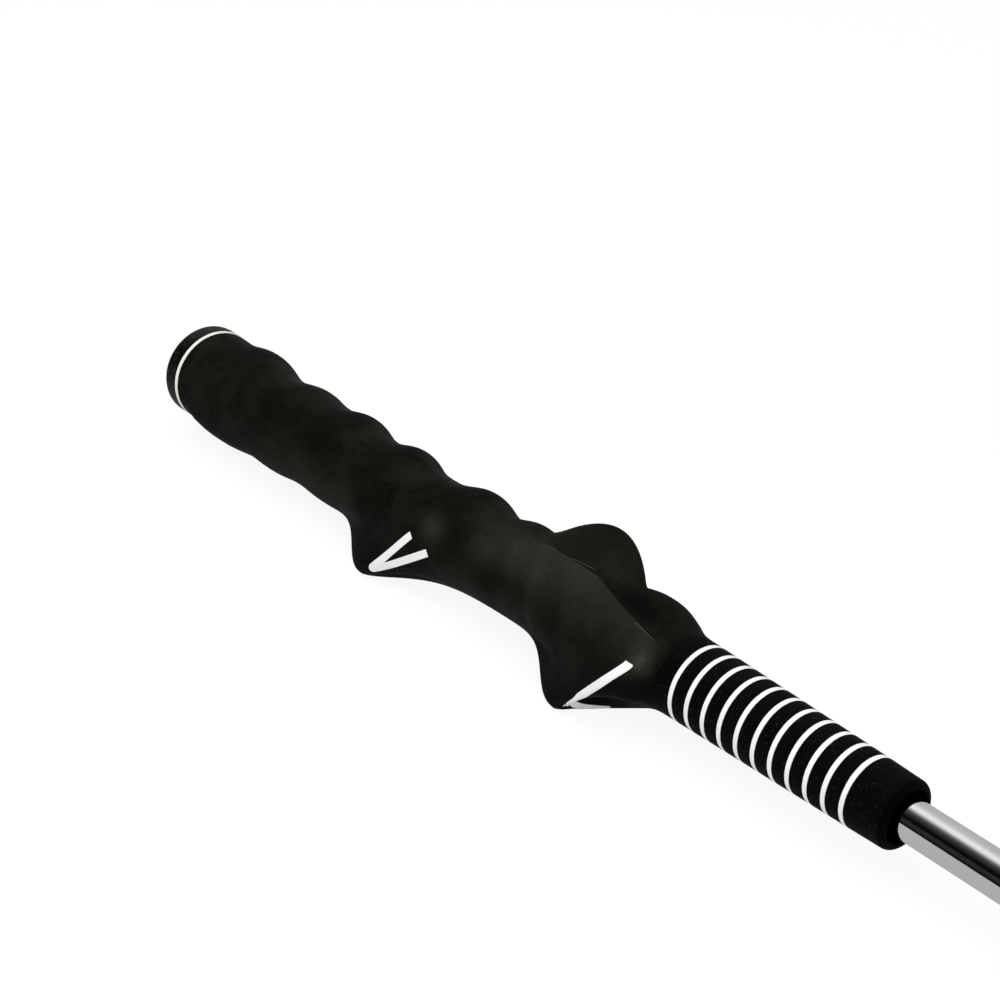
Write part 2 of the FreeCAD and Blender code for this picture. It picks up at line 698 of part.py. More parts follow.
sleeve_start = size("cap_length") + size("butt_line_width")
handle = handle_solid(sleeve_start, neck_start())
marks = []
for label, (wedge, *stops) in MARKS.items():
    crest_line, front_line = (line_on_grip(wedge, line_stops) for line_stops in stops)
    depth = size("mark_depth")
    # the second channel is shallower, and its paint stops at the side of the first
    crest_channel = mark_bar(crest_line, CUT_OVER, depth)
    front_channel = mark_bar(front_line, 0.8 * CUT_OVER, 0.6 * depth)
    crest_paint = mark_bar(crest_line, size("mark_proud"), depth)
    front_paint = mark_bar(front_line, size("mark_proud"), 0.6 * depth).cut(crest_channel)
    marks.append(add_feature(label, Part.Compound([crest_paint] + front_paint.Solids)))
    handle = handle.cut(crest_channel).cut(front_channel)
sleeve = handle.fuse(neck_solid())
sleeve = sleeve.cut(bore_solid())
grip_sleeve = add_feature("grip_sleeve", sleeve.Solids[0])

# ---------------------------------------------------------------------------
# Neck ring lines: white bands let into the neck's grooves, each a cylinder with a
# cylinder cut out of it
# ---------------------------------------------------------------------------
bands = []
for index, middle in enumerate(line_middles()):
    place = "(Sizes.grip_length - Sizes.lines_reach + %d * Sizes.line_pitch)" % index
    radius = ("(Sizes.neck_radius + (Sizes.mouth_radius - Sizes.neck_radius)"
              " * (%s - %s) / Sizes.neck_length)" % (place, NECK_START))
    rings = []
    for name, offset in (("outer", "0"), ("inner", "Sizes.line_depth")):
        ring = doc.addObject("Part::Cylinder", "line_%d_%s" % (index + 1, name))
        ring.setExpression("Radius", "%s - %s" % (radius, offset))
        ring.setExpression("Height", "Sizes.line_width")
        ring.Placement = Placement(Vector(0, 0, 0), Rotation(Vector(0, 1, 0), 90))
        ring.setExpression("Placement.Base.x", "%s - Sizes.line_width / 2" % place)
        rings.append(ring)
    band = doc.addObject("Part::Cut", "line_%d" % (index + 1))
    band.Base, band.Tool = rings
    bands.append(band)
neck_ring_lines = doc.addObject("Part::Compound", "neck_ring_lines")
neck_ring_lines.Label = "neck_ring_lines"
neck_ring_lines.Links = bands

# ---------------------------------------------------------------------------
# Weight head: turned steel slug on the shaft, held by a roll pin, with a plastic
# ferrule behind it and a rubber bumper in front
# ---------------------------------------------------------------------------
SHAFT_FIT = "(Sizes.shaft_diameter / 2 + Sizes.slip_clearance)"
HEAD_RADIUS = "Sizes.head_diameter / 2"
TIP_START = "(%s + Sizes.shaft_length + Sizes.tip_play - Sizes.tip_socket_depth)" % PLUG_END
HEAD_START = "(%s - Sizes.head_length)" % TIP_START

ferrule = new_body("ferrule")
revolve(ferrule, "ferrule", [
    ("0", SHAFT_FIT),
    ("0", "Sizes.ferrule_rear_radius"),
    ("Sizes.ferrule_length", "Sizes.ferrule_front_radius"),
    ("Sizes.ferrule_length", SHAFT_FIT),
])
ferrule.setExpression("Placement.Base.x", "%s - Sizes.ferrule_length" % HEAD_START)

weight_head = new_body("weight_head")
revolve(weight_head, "head", [
    ("0", SHAFT_FIT),
    ("0", HEAD_RADIUS),
    ("Sizes.head_length", HEAD_RADIUS),
    ("Sizes.head_length", SHAFT_FIT),
])
finish_edges(weight_head, "Chamfer", "head_edges",
             lambda edge: (is_circle_at(edge, 0.0, size("head_diameter") / 2)
                           or is_circle_at(edge, size("head_length"), size("head_diameter") / 2)),
             "Sizes.head_chamfer")
pin_hole = sketch_on(weight_head, "pin_hole_section", "XZ_Plane")
hole_edge = pin_hole.addGeometry(Part.Circle(Vector(10, 0, 0), Vector(0, 0, 1), 2.0), False)
pin_hole.addConstraint(Sketcher.Constraint("PointOnObject", hole_edge, 3, -1))
hole_place = pin_hole.addConstraint(
    Sketcher.Constraint("DistanceX", -1, 1, hole_edge, 3, 10.0))
pin_hole.setExpression("Constraints[%d]" % hole_place, "Sizes.head_length / 2")
hole_size = pin_hole.addConstraint(Sketcher.Constraint("Radius", hole_edge, 2.0))
pin_hole.setExpression("Constraints[%d]" % hole_size,
                       "Sizes.pin_diameter / 2 + Sizes.slip_clearance")
pocket = weight_head.newObject("PartDesign::Pocket", "pin_hole")
pocket.Profile = pin_hole
pocket.Type = 1
pocket.Midplane = True
weight_head.setExpression("Placement.Base.x", HEAD_START)

# the shaft is drilled for the same pin
shaft_hole = sketch_on(shaft, "shaft_pin_hole_section", "XZ_Plane")
drill = shaft_hole.addGeometry(Part.Circle(Vector(10, 0, 0), Vector(0, 0, 1), 2.0), False)
shaft_hole.addConstraint(Sketcher.Constraint("PointOnObject", drill, 3, -1))
drill_place = shaft_hole.addConstraint(
    Sketcher.Constraint("DistanceX", -1, 1, drill, 3, 10.0))
PIN_PLACE = "(%s + Sizes.head_length / 2)" % HEAD_START
shaft_hole.setExpression("Constraints[%d]" % drill_place,
                         "%s - %s" % (PIN_PLACE, PLUG_END))
drill_size = shaft_hole.addConstraint(Sketcher.Constraint("Radius", drill, 2.0))
shaft_hole.setExpression("Constraints[%d]" % drill_size,
                         "Sizes.pin_diameter / 2 + Sizes.slip_clearance")
drilled = shaft.newObject("PartDesign::Pocket", "shaft_pin_hole")
drilled.Profile = shaft_hole
drilled.Type = 1
drilled.Midplane = True

weight_pin = new_body("weight_pin")
pin_section = sketch_on(weight_pin, "pin_section", "XZ_Plane")
add_circle(pin_section, "Sizes.pin_diameter / 2")
add_circle(pin_section, "Sizes.pin_bore / 2")
pin_pad = weight_pin.newObject("PartDesign::Pad", "pin_pad")
pin_pad.Profile = pin_section
pin_pad.Midplane = True
pin_pad.setExpression("Length", "Sizes.head_diameter - 2 * Sizes.pin_inset")
weight_pin.setExpression("Placement.Base.x", PIN_PLACE)

tip_cap = new_body("tip_cap")
revolve(tip_cap, "tip", [
    ("Sizes.tip_socket_depth", "0"),
    ("Sizes.tip_socket_depth", SHAFT_FIT),
    ("0", SHAFT_FIT),
    ("0", "Sizes.tip_radius"),
    ("Sizes.tip_length", "Sizes.tip_radius"),
    ("Sizes.tip_length", "0"),
])
finish_edges(tip_cap, "Chamfer", "tip_nose",
             lambda edge: is_circle_at(edge, size("tip_length"), size("tip_radius")),
             "Sizes.tip_bevel")
tip_cap.setExpression("Placement.Base.x", TIP_START)

# ---------------------------------------------------------------------------
# Recompute, check and write each sub-part
# ---------------------------------------------------------------------------
doc.recompute()
for item in doc.Objects:
    if "Invalid" in item.State or "Error" in item.State:
        raise RuntimeError("%s did not recompute: %s" % (item.Label, item.State))

SUB_PARTS = [
    grip_sleeve, butt_cap, butt_ring_line, neck_ring_lines, marks[0], marks[1],
    shaft, build_up_core, grip_tape, ferrule, weight_head, weight_pin, tip_cap,
]
for sub_part in SUB_PARTS:
    if sub_part.Shape.isNull() or not sub_part.Shape.isValid():
        raise RuntimeError("%s has no valid shape" % sub_part.Label)

os.makedirs("parts", exist_ok=True)
for sub_part in SUB_PARTS:
    sub_part.Shape.exportStep("parts/%s.step" % sub_part.Label)
    print("%-18s %2d solids  %10.1f mm3" % (
        sub_part.Label, len(sub_part.Shape.Solids), sub_part.Shape.Volume))
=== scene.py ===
"""Swing trainer stick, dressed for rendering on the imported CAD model.

Metres, in the same frame as the CAD: +X runs from the butt to the tip along the shaft, and
+Z is up as the stick lies on a table. Lengths are written in millimetres and multiplied by
MM where a mesh is made. Round the grip, grip angles count from the finger side (0) over the
front (90) and the thumb side (180) to the palm side (270).
"""

import math

import bmesh
import bpy
import numpy as np
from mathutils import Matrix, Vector


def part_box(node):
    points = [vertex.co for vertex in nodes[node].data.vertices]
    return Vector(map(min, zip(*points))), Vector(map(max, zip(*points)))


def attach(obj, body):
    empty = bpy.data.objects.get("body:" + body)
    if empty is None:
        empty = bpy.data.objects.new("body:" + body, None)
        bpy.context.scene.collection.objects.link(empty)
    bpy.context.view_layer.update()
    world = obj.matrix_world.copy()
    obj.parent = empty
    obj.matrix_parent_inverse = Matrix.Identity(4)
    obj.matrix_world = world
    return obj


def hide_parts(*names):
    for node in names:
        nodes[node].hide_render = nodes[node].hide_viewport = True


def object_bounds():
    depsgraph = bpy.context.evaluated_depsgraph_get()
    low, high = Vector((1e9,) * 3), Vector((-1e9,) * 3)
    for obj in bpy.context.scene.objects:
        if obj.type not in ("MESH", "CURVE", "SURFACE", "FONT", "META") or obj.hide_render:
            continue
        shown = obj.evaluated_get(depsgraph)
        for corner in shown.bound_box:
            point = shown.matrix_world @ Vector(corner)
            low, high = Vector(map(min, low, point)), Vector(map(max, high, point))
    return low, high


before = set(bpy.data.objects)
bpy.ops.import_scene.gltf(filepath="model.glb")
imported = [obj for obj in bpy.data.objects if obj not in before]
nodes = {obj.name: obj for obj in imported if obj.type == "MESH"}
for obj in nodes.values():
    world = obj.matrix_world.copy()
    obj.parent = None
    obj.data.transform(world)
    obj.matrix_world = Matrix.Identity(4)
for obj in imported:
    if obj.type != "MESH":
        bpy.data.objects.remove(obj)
cad_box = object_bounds()
MM = 0.001

# ---------------------------------------------------------------------------
# Shaft: thin-walled steel tube, 3/8 inch, with bright chrome plate. It is drawn as one
# turned piece; its butt end is glued in the grip and its front end carries the weight.
# ---------------------------------------------------------------------------
SHAFT_RADIUS = 4.7625
SHAFT_WALL = 1.2
SHAFT_FIT = SHAFT_RADIUS + 0.05
SHAFT_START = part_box("shaft")[0].x / MM
SHAFT_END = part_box("shaft")[1].x / MM


def turned(name, outline, around=128):
    """Mesh object turned about the X axis from a closed outline of (x, radius), in mm."""
    shape = bmesh.new()
    rings = []
    turns = [2.0 * math.pi * i / around for i in range(around)]
    for x, radius in outline:
        rings.append([shape.verts.new((x * MM, radius * MM * math.sin(t),
                                       radius * MM * math.cos(t))) for t in turns])
    for ring, following in zip(rings, rings[1:] + rings[:1]):
        for i in range(around):
            j = (i + 1) % around
            shape.faces.new((ring[i], following[i], following[j], ring[j]))
    return finished_mesh(name, shape, 32.0)


def finished_mesh(name, shape, sharp_from):
    """Object from a closed bmesh, smooth but for edges over sharp_from degrees."""
    bmesh.ops.recalc_face_normals(shape, faces=shape.faces)
    for face in shape.faces:
        face.smooth = True
    for edge in shape.edges:
        edge.smooth = edge.calc_face_angle(0.0) < math.radians(sharp_from)
    mesh = bpy.data.meshes.new(name)
    shape.to_mesh(mesh)
    shape.free()
    piece = bpy.data.objects.new(name, mesh)
    bpy.context.scene.collection.objects.link(piece)
    return piece


def rounding(x, radius, size, start, turn):
    """Round stretch of an outline about (x, radius), from start degrees on by turn."""
    steps = 8
    turns = [math.radians(start + turn * i / steps) for i in range(steps + 1)]
    return [(x + size * math.cos(t), radius + size * math.sin(t)) for t in turns]


class Value:
    """A socket's value in a material; arithmetic on it adds Math nodes."""

    def __init__(self, finish, socket):
        self.finish = finish
        self.socket = socket

    def math(self, operation, *others):
        return self.finish.node("ShaderNodeMath", {"operation": operation}, [self, *others])

    def __add__(self, other):
        return self.math("ADD", other)

    def __sub__(self, other):
        return self.math("SUBTRACT", other)

    def __rsub__(self, other):
        return self.finish.node("ShaderNodeMath", {"operation": "SUBTRACT"}, [other, self])

    def __mul__(self, other):
        return self.math("MULTIPLY", other)

    def between(self, low, high):
        """0 at low, 1 at high, smooth in between."""
        return self.finish.node("ShaderNodeMapRange", {"interpolation_type": "SMOOTHSTEP"},
                                {"Value": self, "From Min": low, "From Max": high})


class Finish:
    """A material under construction on one Principled shader."""

    def __init__(self, name, **constants):
        self.material = bpy.data.materials.new(name)
        self.material.use_nodes = True
        self.tree = self.material.node_tree
        self.shader = self.tree.nodes["Principled BSDF"]
        for socket, value in constants.items():
            self.shader.inputs[socket.replace("_", " ")].default_value = value

    def node(self, kind, settings=None, inputs=None, output=0):
        """Adds a node: its settings first, then values or links of its sockets."""
        made = self.tree.nodes.new(kind)
        for setting, value in (settings or {}).items():
            setattr(made, setting, value)
        if isinstance(inputs, dict):
            pairs = [(made.inputs[key], value) for key, value in inputs.items()]
        else:
            pairs = list(zip(made.inputs, inputs or []))
        for socket, value in pairs:
            if isinstance(value, Value):
                self.tree.links.new(value.socket, socket)
            else:
                socket.default_value = value
        return Value(self, made.outputs[output])

    def place(self):
        """Object coordinates, in metres."""
        return self.node("ShaderNodeTexCoord", output=3)

    def laid(self, name):
        """The piece's own attribute of this name, laid over its surface."""
        return self.node("ShaderNodeAttribute", {"attribute_name": name}, output=2)

    def noise(self, size, detail=2.0, roughness=0.5, at=None):
        """Noise from 0 to 1 whose blotches measure about size mm."""
        return self.node("ShaderNodeTexNoise", {}, {
            "Vector": at or self.place(), "Scale": 1.0 / (size * MM), "Detail": detail,
            "Roughness": roughness})

    def blend(self, factor, colour_a, colour_b):
        """colour_a where factor is 0, colour_b where it is 1."""
        made = self.tree.nodes.new("ShaderNodeMix")
        made.data_type = "RGBA"
        for index, value in ((0, factor), (6, colour_a), (7, colour_b)):
            if isinstance(value, Value):
                self.tree.links.new(value.socket, made.inputs[index])
            elif index == 0:
                made.inputs[index].default_value = value
            else:
                made.inputs[index].default_value = (*value, 1.0)
        return Value(self, made.outputs[2])

    def relief(self, height, depth):
        """Bump normal from a height of 0 to 1 that stands for depth mm."""
        return self.node("ShaderNodeBump", {}, {
            "Strength": 1.0, "Distance": depth * MM, "Height": height})

    def apart(self):
        """The three numbers of the object coordinates, in metres."""
        split = self.tree.nodes.new("ShaderNodeSeparateXYZ")
        self.tree.links.new(self.place().socket, split.inputs[0])
        return [Value(self, socket) for socket in split.outputs]

    def feed(self, **links):
        """Links values to the shader's sockets and gives the finished material."""
        for socket, value in links.items():
            self.tree.links.new(value.socket, self.shader.inputs[socket.replace("_", " ")])
        return self.material


def chrome():
    """Bright chrome plate, with faint length-wise polishing marks and handling haze."""
    finish = Finish("chrome_plate", Metallic=1.0)
    haze = finish.noise(14.0, 3.0)
    along = finish.node("ShaderNodeMapping", {}, {
        "Vector": finish.place(), "Scale": (0.04, 1.0, 1.0)})
    scratches = finish.noise(0.35, 2.0, at=along)
    colour = finish.blend(haze, (0.80, 0.805, 0.81), (0.72, 0.725, 0.73))
    roughness = haze.between(0.45, 0.8) * 0.035 + scratches * 0.02 + 0.035
    return finish.feed(Base_Color=colour, Roughness=roughness,
                       Normal=finish.relief(scratches, 0.002))


shaft = turned("chrome_shaft", [
    (SHAFT_START, SHAFT_RADIUS - SHAFT_WALL),
    (SHAFT_START, SHAFT_RADIUS - 0.3),
    (SHAFT_START + 0.3, SHAFT_RADIUS),
    (SHAFT_END - 0.3, SHAFT_RADIUS),
    (SHAFT_END, SHAFT_RADIUS - 0.3),
    (SHAFT_END, SHAFT_RADIUS - SHAFT_WALL),
])
shaft.data.materials.append(chrome())
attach(shaft, "root")
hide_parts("shaft")

# ---------------------------------------------------------------------------
# Build-up core and grip tape: hard plastic sleeve that thickens the shaft under the hands,
# wound with double-sided crepe tape. Both are hidden in the grip, and stay as the CAD has
# them.
# ---------------------------------------------------------------------------
def core_plastic():
    """Grey moulded plastic with faint flow marks."""
    finish = Finish("core_plastic")
    flow = finish.noise(9.0, 3.0)
    colour = finish.blend(flow, (0.22, 0.22, 0.23), (0.29, 0.29, 0.30))
    return finish.feed(Base_Color=colour, Roughness=flow * 0.2 + 0.4,
                       Normal=finish.relief(finish.noise(0.6), 0.02))


def crepe_tape():
    """Buff crepe paper: fine wrinkles round the core."""
    finish = Finish("crepe_tape")
    wrinkle = finish.node("ShaderNodeTexWave", {"bands_direction": "X"}, {
        "Vector": finish.place(), "Scale": 1200.0, "Distortion": 3.0, "Detail": 2.0})
    fibres = finish.noise(0.8, 4.0)
    colour = finish.blend(fibres, (0.60, 0.53, 0.38), (0.75, 0.68, 0.52))
    return finish.feed(Base_Color=colour, Roughness=fibres * 0.15 + 0.75,
                       Normal=finish.relief(wrinkle, 0.05))


def recoat(name, material):
    """Gives a piece that keeps the shape of its solid a finish of its own."""
    nodes[name].data.materials.clear()
    nodes[name].data.materials.append(material)


recoat("build_up_core", core_plastic())
recoat("grip_tape", crepe_tape())

# ---------------------------------------------------------------------------
# Grip: one soft black rubber moulding that places both hands, with finger grooves, two
# thumb wedges, a raised cheek, a trigger fin and a ringed neck. It is slid over tape and
# core and glued. Its skin is a radius that follows a rule round and along the shaft.
# ---------------------------------------------------------------------------
GRIP_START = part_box("grip_sleeve")[0].x / MM
GRIP_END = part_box("grip_sleeve")[1].x / MM
NECK_START = GRIP_END - 65.9
NECK_RADIUS = 10.0
MOUTH_RADIUS = 8.27
MOUTH_EDGE = 1.6
REST_ROLL = 44.2            # the finger side leans back by this angle as the stick lies
FIRST_LINE = GRIP_END - 60.9
LINE_PITCH = 5.0
LINE_COUNT = 11
LINE_WIDTH = 1.3
LINE_DEPTH = 0.7


def smooth(u):
    """0 below 0, 1 above 1, and a smooth step between."""
    u = np.clip(u, 0.0, 1.0)
    return u * u * (3.0 - 2.0 * u)


def bump(u, power=2.0):
    """Bell of height 1 at u = 0; a power over 2 flattens its top, under 2 sharpens it."""
    return np.exp(-np.abs(u) ** power)


def off(angle, middle):
    """Signed angle in degrees from middle round to angle."""
    return (angle - middle + 180.0) % 360.0 - 180.0


def neck_radius_at(x):
    """The neck narrows evenly from its start to the mouth."""
    along = (x - NECK_START) / (GRIP_END - NECK_START)
    return NECK_RADIUS + (MOUTH_RADIUS - NECK_RADIUS) * along


def plain_radius(x):
    """Tapered handle, blended into the neck."""
    butt_radius = 13.5
    narrowing = 2.6
    run_down = 12.0
    handle = butt_radius - narrowing * x / NECK_START
    onto_neck = smooth((x - NECK_START) / run_down + 0.92)
    return handle * (1.0 - onto_neck) + neck_radius_at(x) * onto_neck


def fingers(x, angle):
    """Grooves and ridges on the finger side: radii of the grooves' floors, and the middle,
    height and half width of each ridge."""
    floors = [(6.6, 13.6), (17.6, 12.9), (41.8, 11.6), (62.3, 11.9), (85.8, 11.0),
              (109.3, 10.4), (136.8, 10.2), (165.9, 10.99)]
    ridges = [(26.7, 2.2, 8.0), (52.4, 1.35, 6.5), (74.3, 1.95, 6.3), (97.3, 2.25, 6.1),
              (126.6, 2.8, 7.5), (146.0, 2.0, 6.1)]
    rise = np.interp(x, *zip(*floors)) - plain_radius(x)
    for middle, height, half in ridges:
        rise = rise + height * bump((x - middle) / half, 2.2)
    around = smooth((78.0 - np.abs(off(angle, -8.0))) / 62.0)
    along = smooth((x - 5.8) / 8.0) * (1.0 - smooth((x - 147.9) / 8.0))
    return rise * around * along


def thumb_pads(x, angle):
    """Low pads along the thumb side of the rear hand: middle, height and half width."""
    pads = [(24.6, 1.7, 13.5), (49.4, 0.9, 8.0), (74.7, 0.6, 8.0)]
    rise = 0.0
    for middle, height, half in pads:
        rise = rise + height * bump((x - middle) / half, 2.6)
    return rise * smooth((95.0 - np.abs(off(angle, 200.0))) / 70.0)


# Thumb wedges: the place of the apex, how far the crest sweeps forward and over what angle,
# the height, the half widths behind and ahead of the crest and the power of its front. The
# fall is the power of the sides, and the tail is the share of the height that runs on round
# the grip: first towards the fingers, then towards the palm.
WEDGES = {
    "a": dict(apex=100.8, sweep=18.0, span=60.0, height=10.85, rear=11.0, front=15.4,
              edge=1.4, fall=(1.45, 1.3), tail=(0.09, 0.09)),
    "b": dict(apex=178.6, sweep=20.0, span=72.0, height=12.0, rear=12.3, front=6.2,
              edge=1.16, fall=(1.45, 1.1), tail=(0.24, 0.12)),
}


def crest_x(wedge, angle):
    """Where a wedge's crest lies along the grip, at this angle."""
    swept = np.minimum(np.abs(off(angle, 180.0)) / wedge["span"], 1.35)
    return wedge["apex"] + wedge["sweep"] * np.sin(0.5 * math.pi * swept)


def wedge_rise(wedge, x, angle):
    """Beak on the thumb side whose crest sweeps forward and down round the grip. It
    falls off more sharply towards the palm than towards the fingers."""
    ahead = x - crest_x(wedge, angle)
    along = np.where(ahead < 0.0, bump(ahead / wedge["rear"], 2.6),
                     bump(ahead / wedge["front"], wedge["edge"]))
    aside = np.abs(off(angle, 180.0))
    fall, tail = (np.where(off(angle, 180.0) > 0.0, wedge[part][1], wedge[part][0])
                  for part in ("fall", "tail"))
    around = (1.0 - tail) * bump(aside / 24.0, fall)
    around = around + tail * (1.0 - smooth((aside - 45.0) / 45.0))
    return wedge["height"] * around * along


CHEEK_RISE = 1.6
CHEEK_FRONT = 202.8
HOLLOW_AT = 188.8
HOLLOW_DEPTH = 1.9
KNUCKLE_RISE = 2.5
PALM_RISE = 5.93


def cheek(x, angle):
    """Raised panel between the trigger fin and the second wedge's crest."""
    edge = 45.0 + 1.22 * np.maximum(x - 174.8, 0.0)
    start = 154.3 + 0.08 * off(angle, 60.0)
    along = smooth((x - start) / 6.0) * smooth((CHEEK_FRONT - x) / 6.0)
    around = smooth((angle - edge + 3.0) / 6.0) * (1.0 - smooth((angle - 150.0) / 25.0))
    return CHEEK_RISE * along * around


def hollow(x, angle):
    """Dip for the first finger, below the cheek's edge."""
    around = bump(off(angle, 48.0 + 0.8 * (x - HOLLOW_AT)) / 15.0)
    return -HOLLOW_DEPTH * bump((x - HOLLOW_AT) / 9.5, 3.0) * around


def knuckle(x, angle):
    """Swell on the finger side, in front of the fin."""
    return KNUCKLE_RISE * bump((x - 190.4) / 9.1, 2.4) * bump(off(angle, -5.0) / 48.0, 2.5)


def palm_swell(x, angle):
    """Full pad under the palm, on the side away from the cheek."""
    return PALM_RISE * bump((x - 154.8) / 30.0, 3.0) * bump(off(angle, 243.0) / 27.0, 2.2)


FIN_FOOT_AT = 157.8         # where the fin's foot is widest
FIN_KEEL_AT = 165.9         # where its keel is highest
FIN_KEEL_RADIUS = 21.4
FIN_ROOT_SHARE = 0.98       # its root lies just below the plain handle


def fin_radius_at(x, angle):
    """Trigger fin: straight flanks from an arched keel down to a foot either side. The
    foot closes towards both ends, and beyond them the fin is sunk in the grip."""
    ahead = x - FIN_FOOT_AT
    reach = np.abs(ahead) / np.where(ahead > 0.0, 23.4, 9.0)
    foot = 18.0 + 27.0 * np.sqrt(np.maximum(1.0 - reach ** 2, 0.0))
    aside = np.minimum(np.abs(off(angle, 0.0)), foot)
    sunk = 4.0 * smooth(reach - 1.0)
    arch = 10.6 * ((x - FIN_KEEL_AT) / 17.5) ** 2
    keel = np.maximum(FIN_KEEL_RADIUS - arch, 10.7) - sunk
    root = FIN_ROOT_SHARE * plain_radius(x) - sunk
    full, part, rest = (np.sin(np.radians(a)) for a in (foot, aside, foot - aside))
    return np.where(aside >= foot, 0.0, keel * root * full / (keel * part + root * rest))


def skin_radius(x, angle):
    """Radius of the handle's skin, from the shaft's axis. The forms fade out at both ends of
    the handle, and the fin runs into the rest over a small fillet."""
    fillet = 0.8
    fade = 6.0
    radius = plain_radius(x) + fingers(x, angle) + thumb_pads(x, angle)
    radius = radius + wedge_rise(WEDGES["a"], x, angle) + wedge_rise(WEDGES["b"], x, angle)
    radius = radius + cheek(x, angle) + hollow(x, angle) + knuckle(x, angle)
    radius = radius + palm_swell(x, angle)
    fin = fin_radius_at(x, angle)
    radius = 0.5 * (radius + fin + np.sqrt((radius - fin) ** 2 + fillet * fillet))
    shaped = smooth((x - GRIP_START) / fade) * smooth((NECK_START - x) / fade)
    return plain_radius(x) + shaped * (radius - plain_radius(x))


def on_grip(x, radius, angle):
    """Points in metres at these places along the grip, radii and grip angles."""
    turn = np.radians(REST_ROLL - angle)
    return np.stack([x + 0.0 * radius, radius * np.sin(turn), radius * np.cos(turn)], -1) * MM


def patch(x, angle, middle, half, power=2.0):
    """Soft spot of height 1 about middle, (x, angle), with half widths (mm, degrees)."""
    along = bump((x - middle[0]) / half[0], power)
    return along * bump(off(angle, middle[1]) / half[1], power)


def surface_masks(x, angle):
    """Masks over the rubber, 0 to 1: greying together with painted light, browner, painted
    shade, and neck. The first goes over 1 in the painted highlight in front of the cheek."""
    on_cheek = cheek(x, angle) / CHEEK_RISE
    # painted light: the cheek is lighter towards its top, where light falls from above
    top_light = smooth((125.0 - angle) / 75.0)
    behind_fin = patch(x, angle, (150.0, 72.0), (13.0, 34.0), 3.0)
    # painted sheen on the lower flanks
    flank = 0.6 * bump(off(angle, 150.0) / 32.0) * smooth((x - 15.0) / 60.0)
    flank = flank * (1.0 - smooth((x - 89.0) / 8.0))
    flank = flank + 0.5 * bump(off(angle, 158.0) / 22.0) * bump((x - 143.0) / 18.0, 3.0)
    flank = flank + 0.35 * bump(off(angle, 136.0) / 22.0) * bump((x - 160.0) / 9.0, 3.0)
    # painted light on the floors of the finger grooves
    groove = 0.4 * bump(off(angle, 14.0) / 12.0, 3.0) * smooth((150.0 - x) / 10.0)
    groove = groove * smooth(1.0 - fingers(x, angle) / 1.2)
    # painted highlight in front of the cheek
    cheek_highlight = patch(x, angle, (200.3, 106.0), (2.6, 24.0))
    beside_mark = patch(x, angle, (124.3, 106.0), (4.5, 18.0))
    # Bloom greys the cheek and the place behind the fin; the cheek's top, the flanks and the
    # grooves' floors are painted light, and a lighter spot lies in front of the first mark
    bloom_and_painted_light = on_cheek * (0.15 + 0.85 * top_light) + 0.85 * behind_fin
    bloom_and_painted_light = bloom_and_painted_light + flank + groove + beside_mark

    fin = smooth((fin_radius_at(x, angle) - FIN_ROOT_SHARE * plain_radius(x)) / 0.8)
    # painted shade: darker in the hollow, on the wedges' rear faces, ahead of the second
    # wedge's crest and on the finger ridges
    dip = np.abs(hollow(x, angle)) / HOLLOW_DEPTH
    rear = sum(wedge_rise(wedge, x, angle) / wedge["height"]
               * smooth((crest_x(wedge, angle) - x) / 3.0) for wedge in WEDGES.values())
    under = smooth((x - crest_x(WEDGES["b"], angle)) / 1.5) * smooth((angle - 112.0) / 20.0)
    on_ridge = smooth(fingers(x, np.zeros_like(angle)) / 1.6)
    ridge = 0.7 * bump(off(angle, 24.0) / 26.0) * on_ridge
    painted_shade = np.clip(0.85 * dip + 1.1 * rear + 0.8 * under + ridge, 0.0, 1.0)
    # painted shade along the fin's keel, which takes less of the fin's lighter brown tone
    fin = fin * (1.0 - 0.6 * bump(off(angle, 0.0) / 10.0, 3.0))
    neck = smooth((x - NECK_START + 3.0) / 5.0)
    return {"bloom_and_painted_light": np.clip(bloom_and_painted_light, 0.0, 1.0) * (1.0 - 0.8 * fin) + 1.15 * cheek_highlight,
            "fin": np.clip(fin, 0.0, 1.0), "painted_shade": painted_shade * (1.0 - fin),
            "neck": np.full_like(angle, neck)}


def neck_outline():
    """(x, radius) down the ringed neck, round the mouth and back through the bore."""
    lip = 0.12              # bevel of a groove's edges
    wide_bore = 7.8
    recess = 6.4
    recess_depth = 3.0
    outline = []
    for index in range(LINE_COUNT):
        middle = FIRST_LINE + LINE_PITCH * index
        for side in (-1.0, 1.0):
            edge = middle + side * LINE_WIDTH / 2.0
            rim = [(edge + side * lip, 0.0), (edge, lip), (edge, LINE_DEPTH)]
            for x, depth in (rim if side < 0 else rim[::-1]):
                outline.append((x, neck_radius_at(x) - depth))
    corner = GRIP_END - MOUTH_EDGE, neck_radius_at(GRIP_END) - MOUTH_EDGE
    outline += rounding(*corner, MOUTH_EDGE, 90.0, -90.0)
    outline += [
        (GRIP_END, recess + 0.3), (GRIP_END - 0.3, recess),
        (GRIP_END - recess_depth, recess), (GRIP_END - recess_depth, SHAFT_FIT),
        (NECK_START - 1.0, SHAFT_FIT), (NECK_START - 9.0, wide_bore), (GRIP_START, wide_bore),
    ]
    return outline


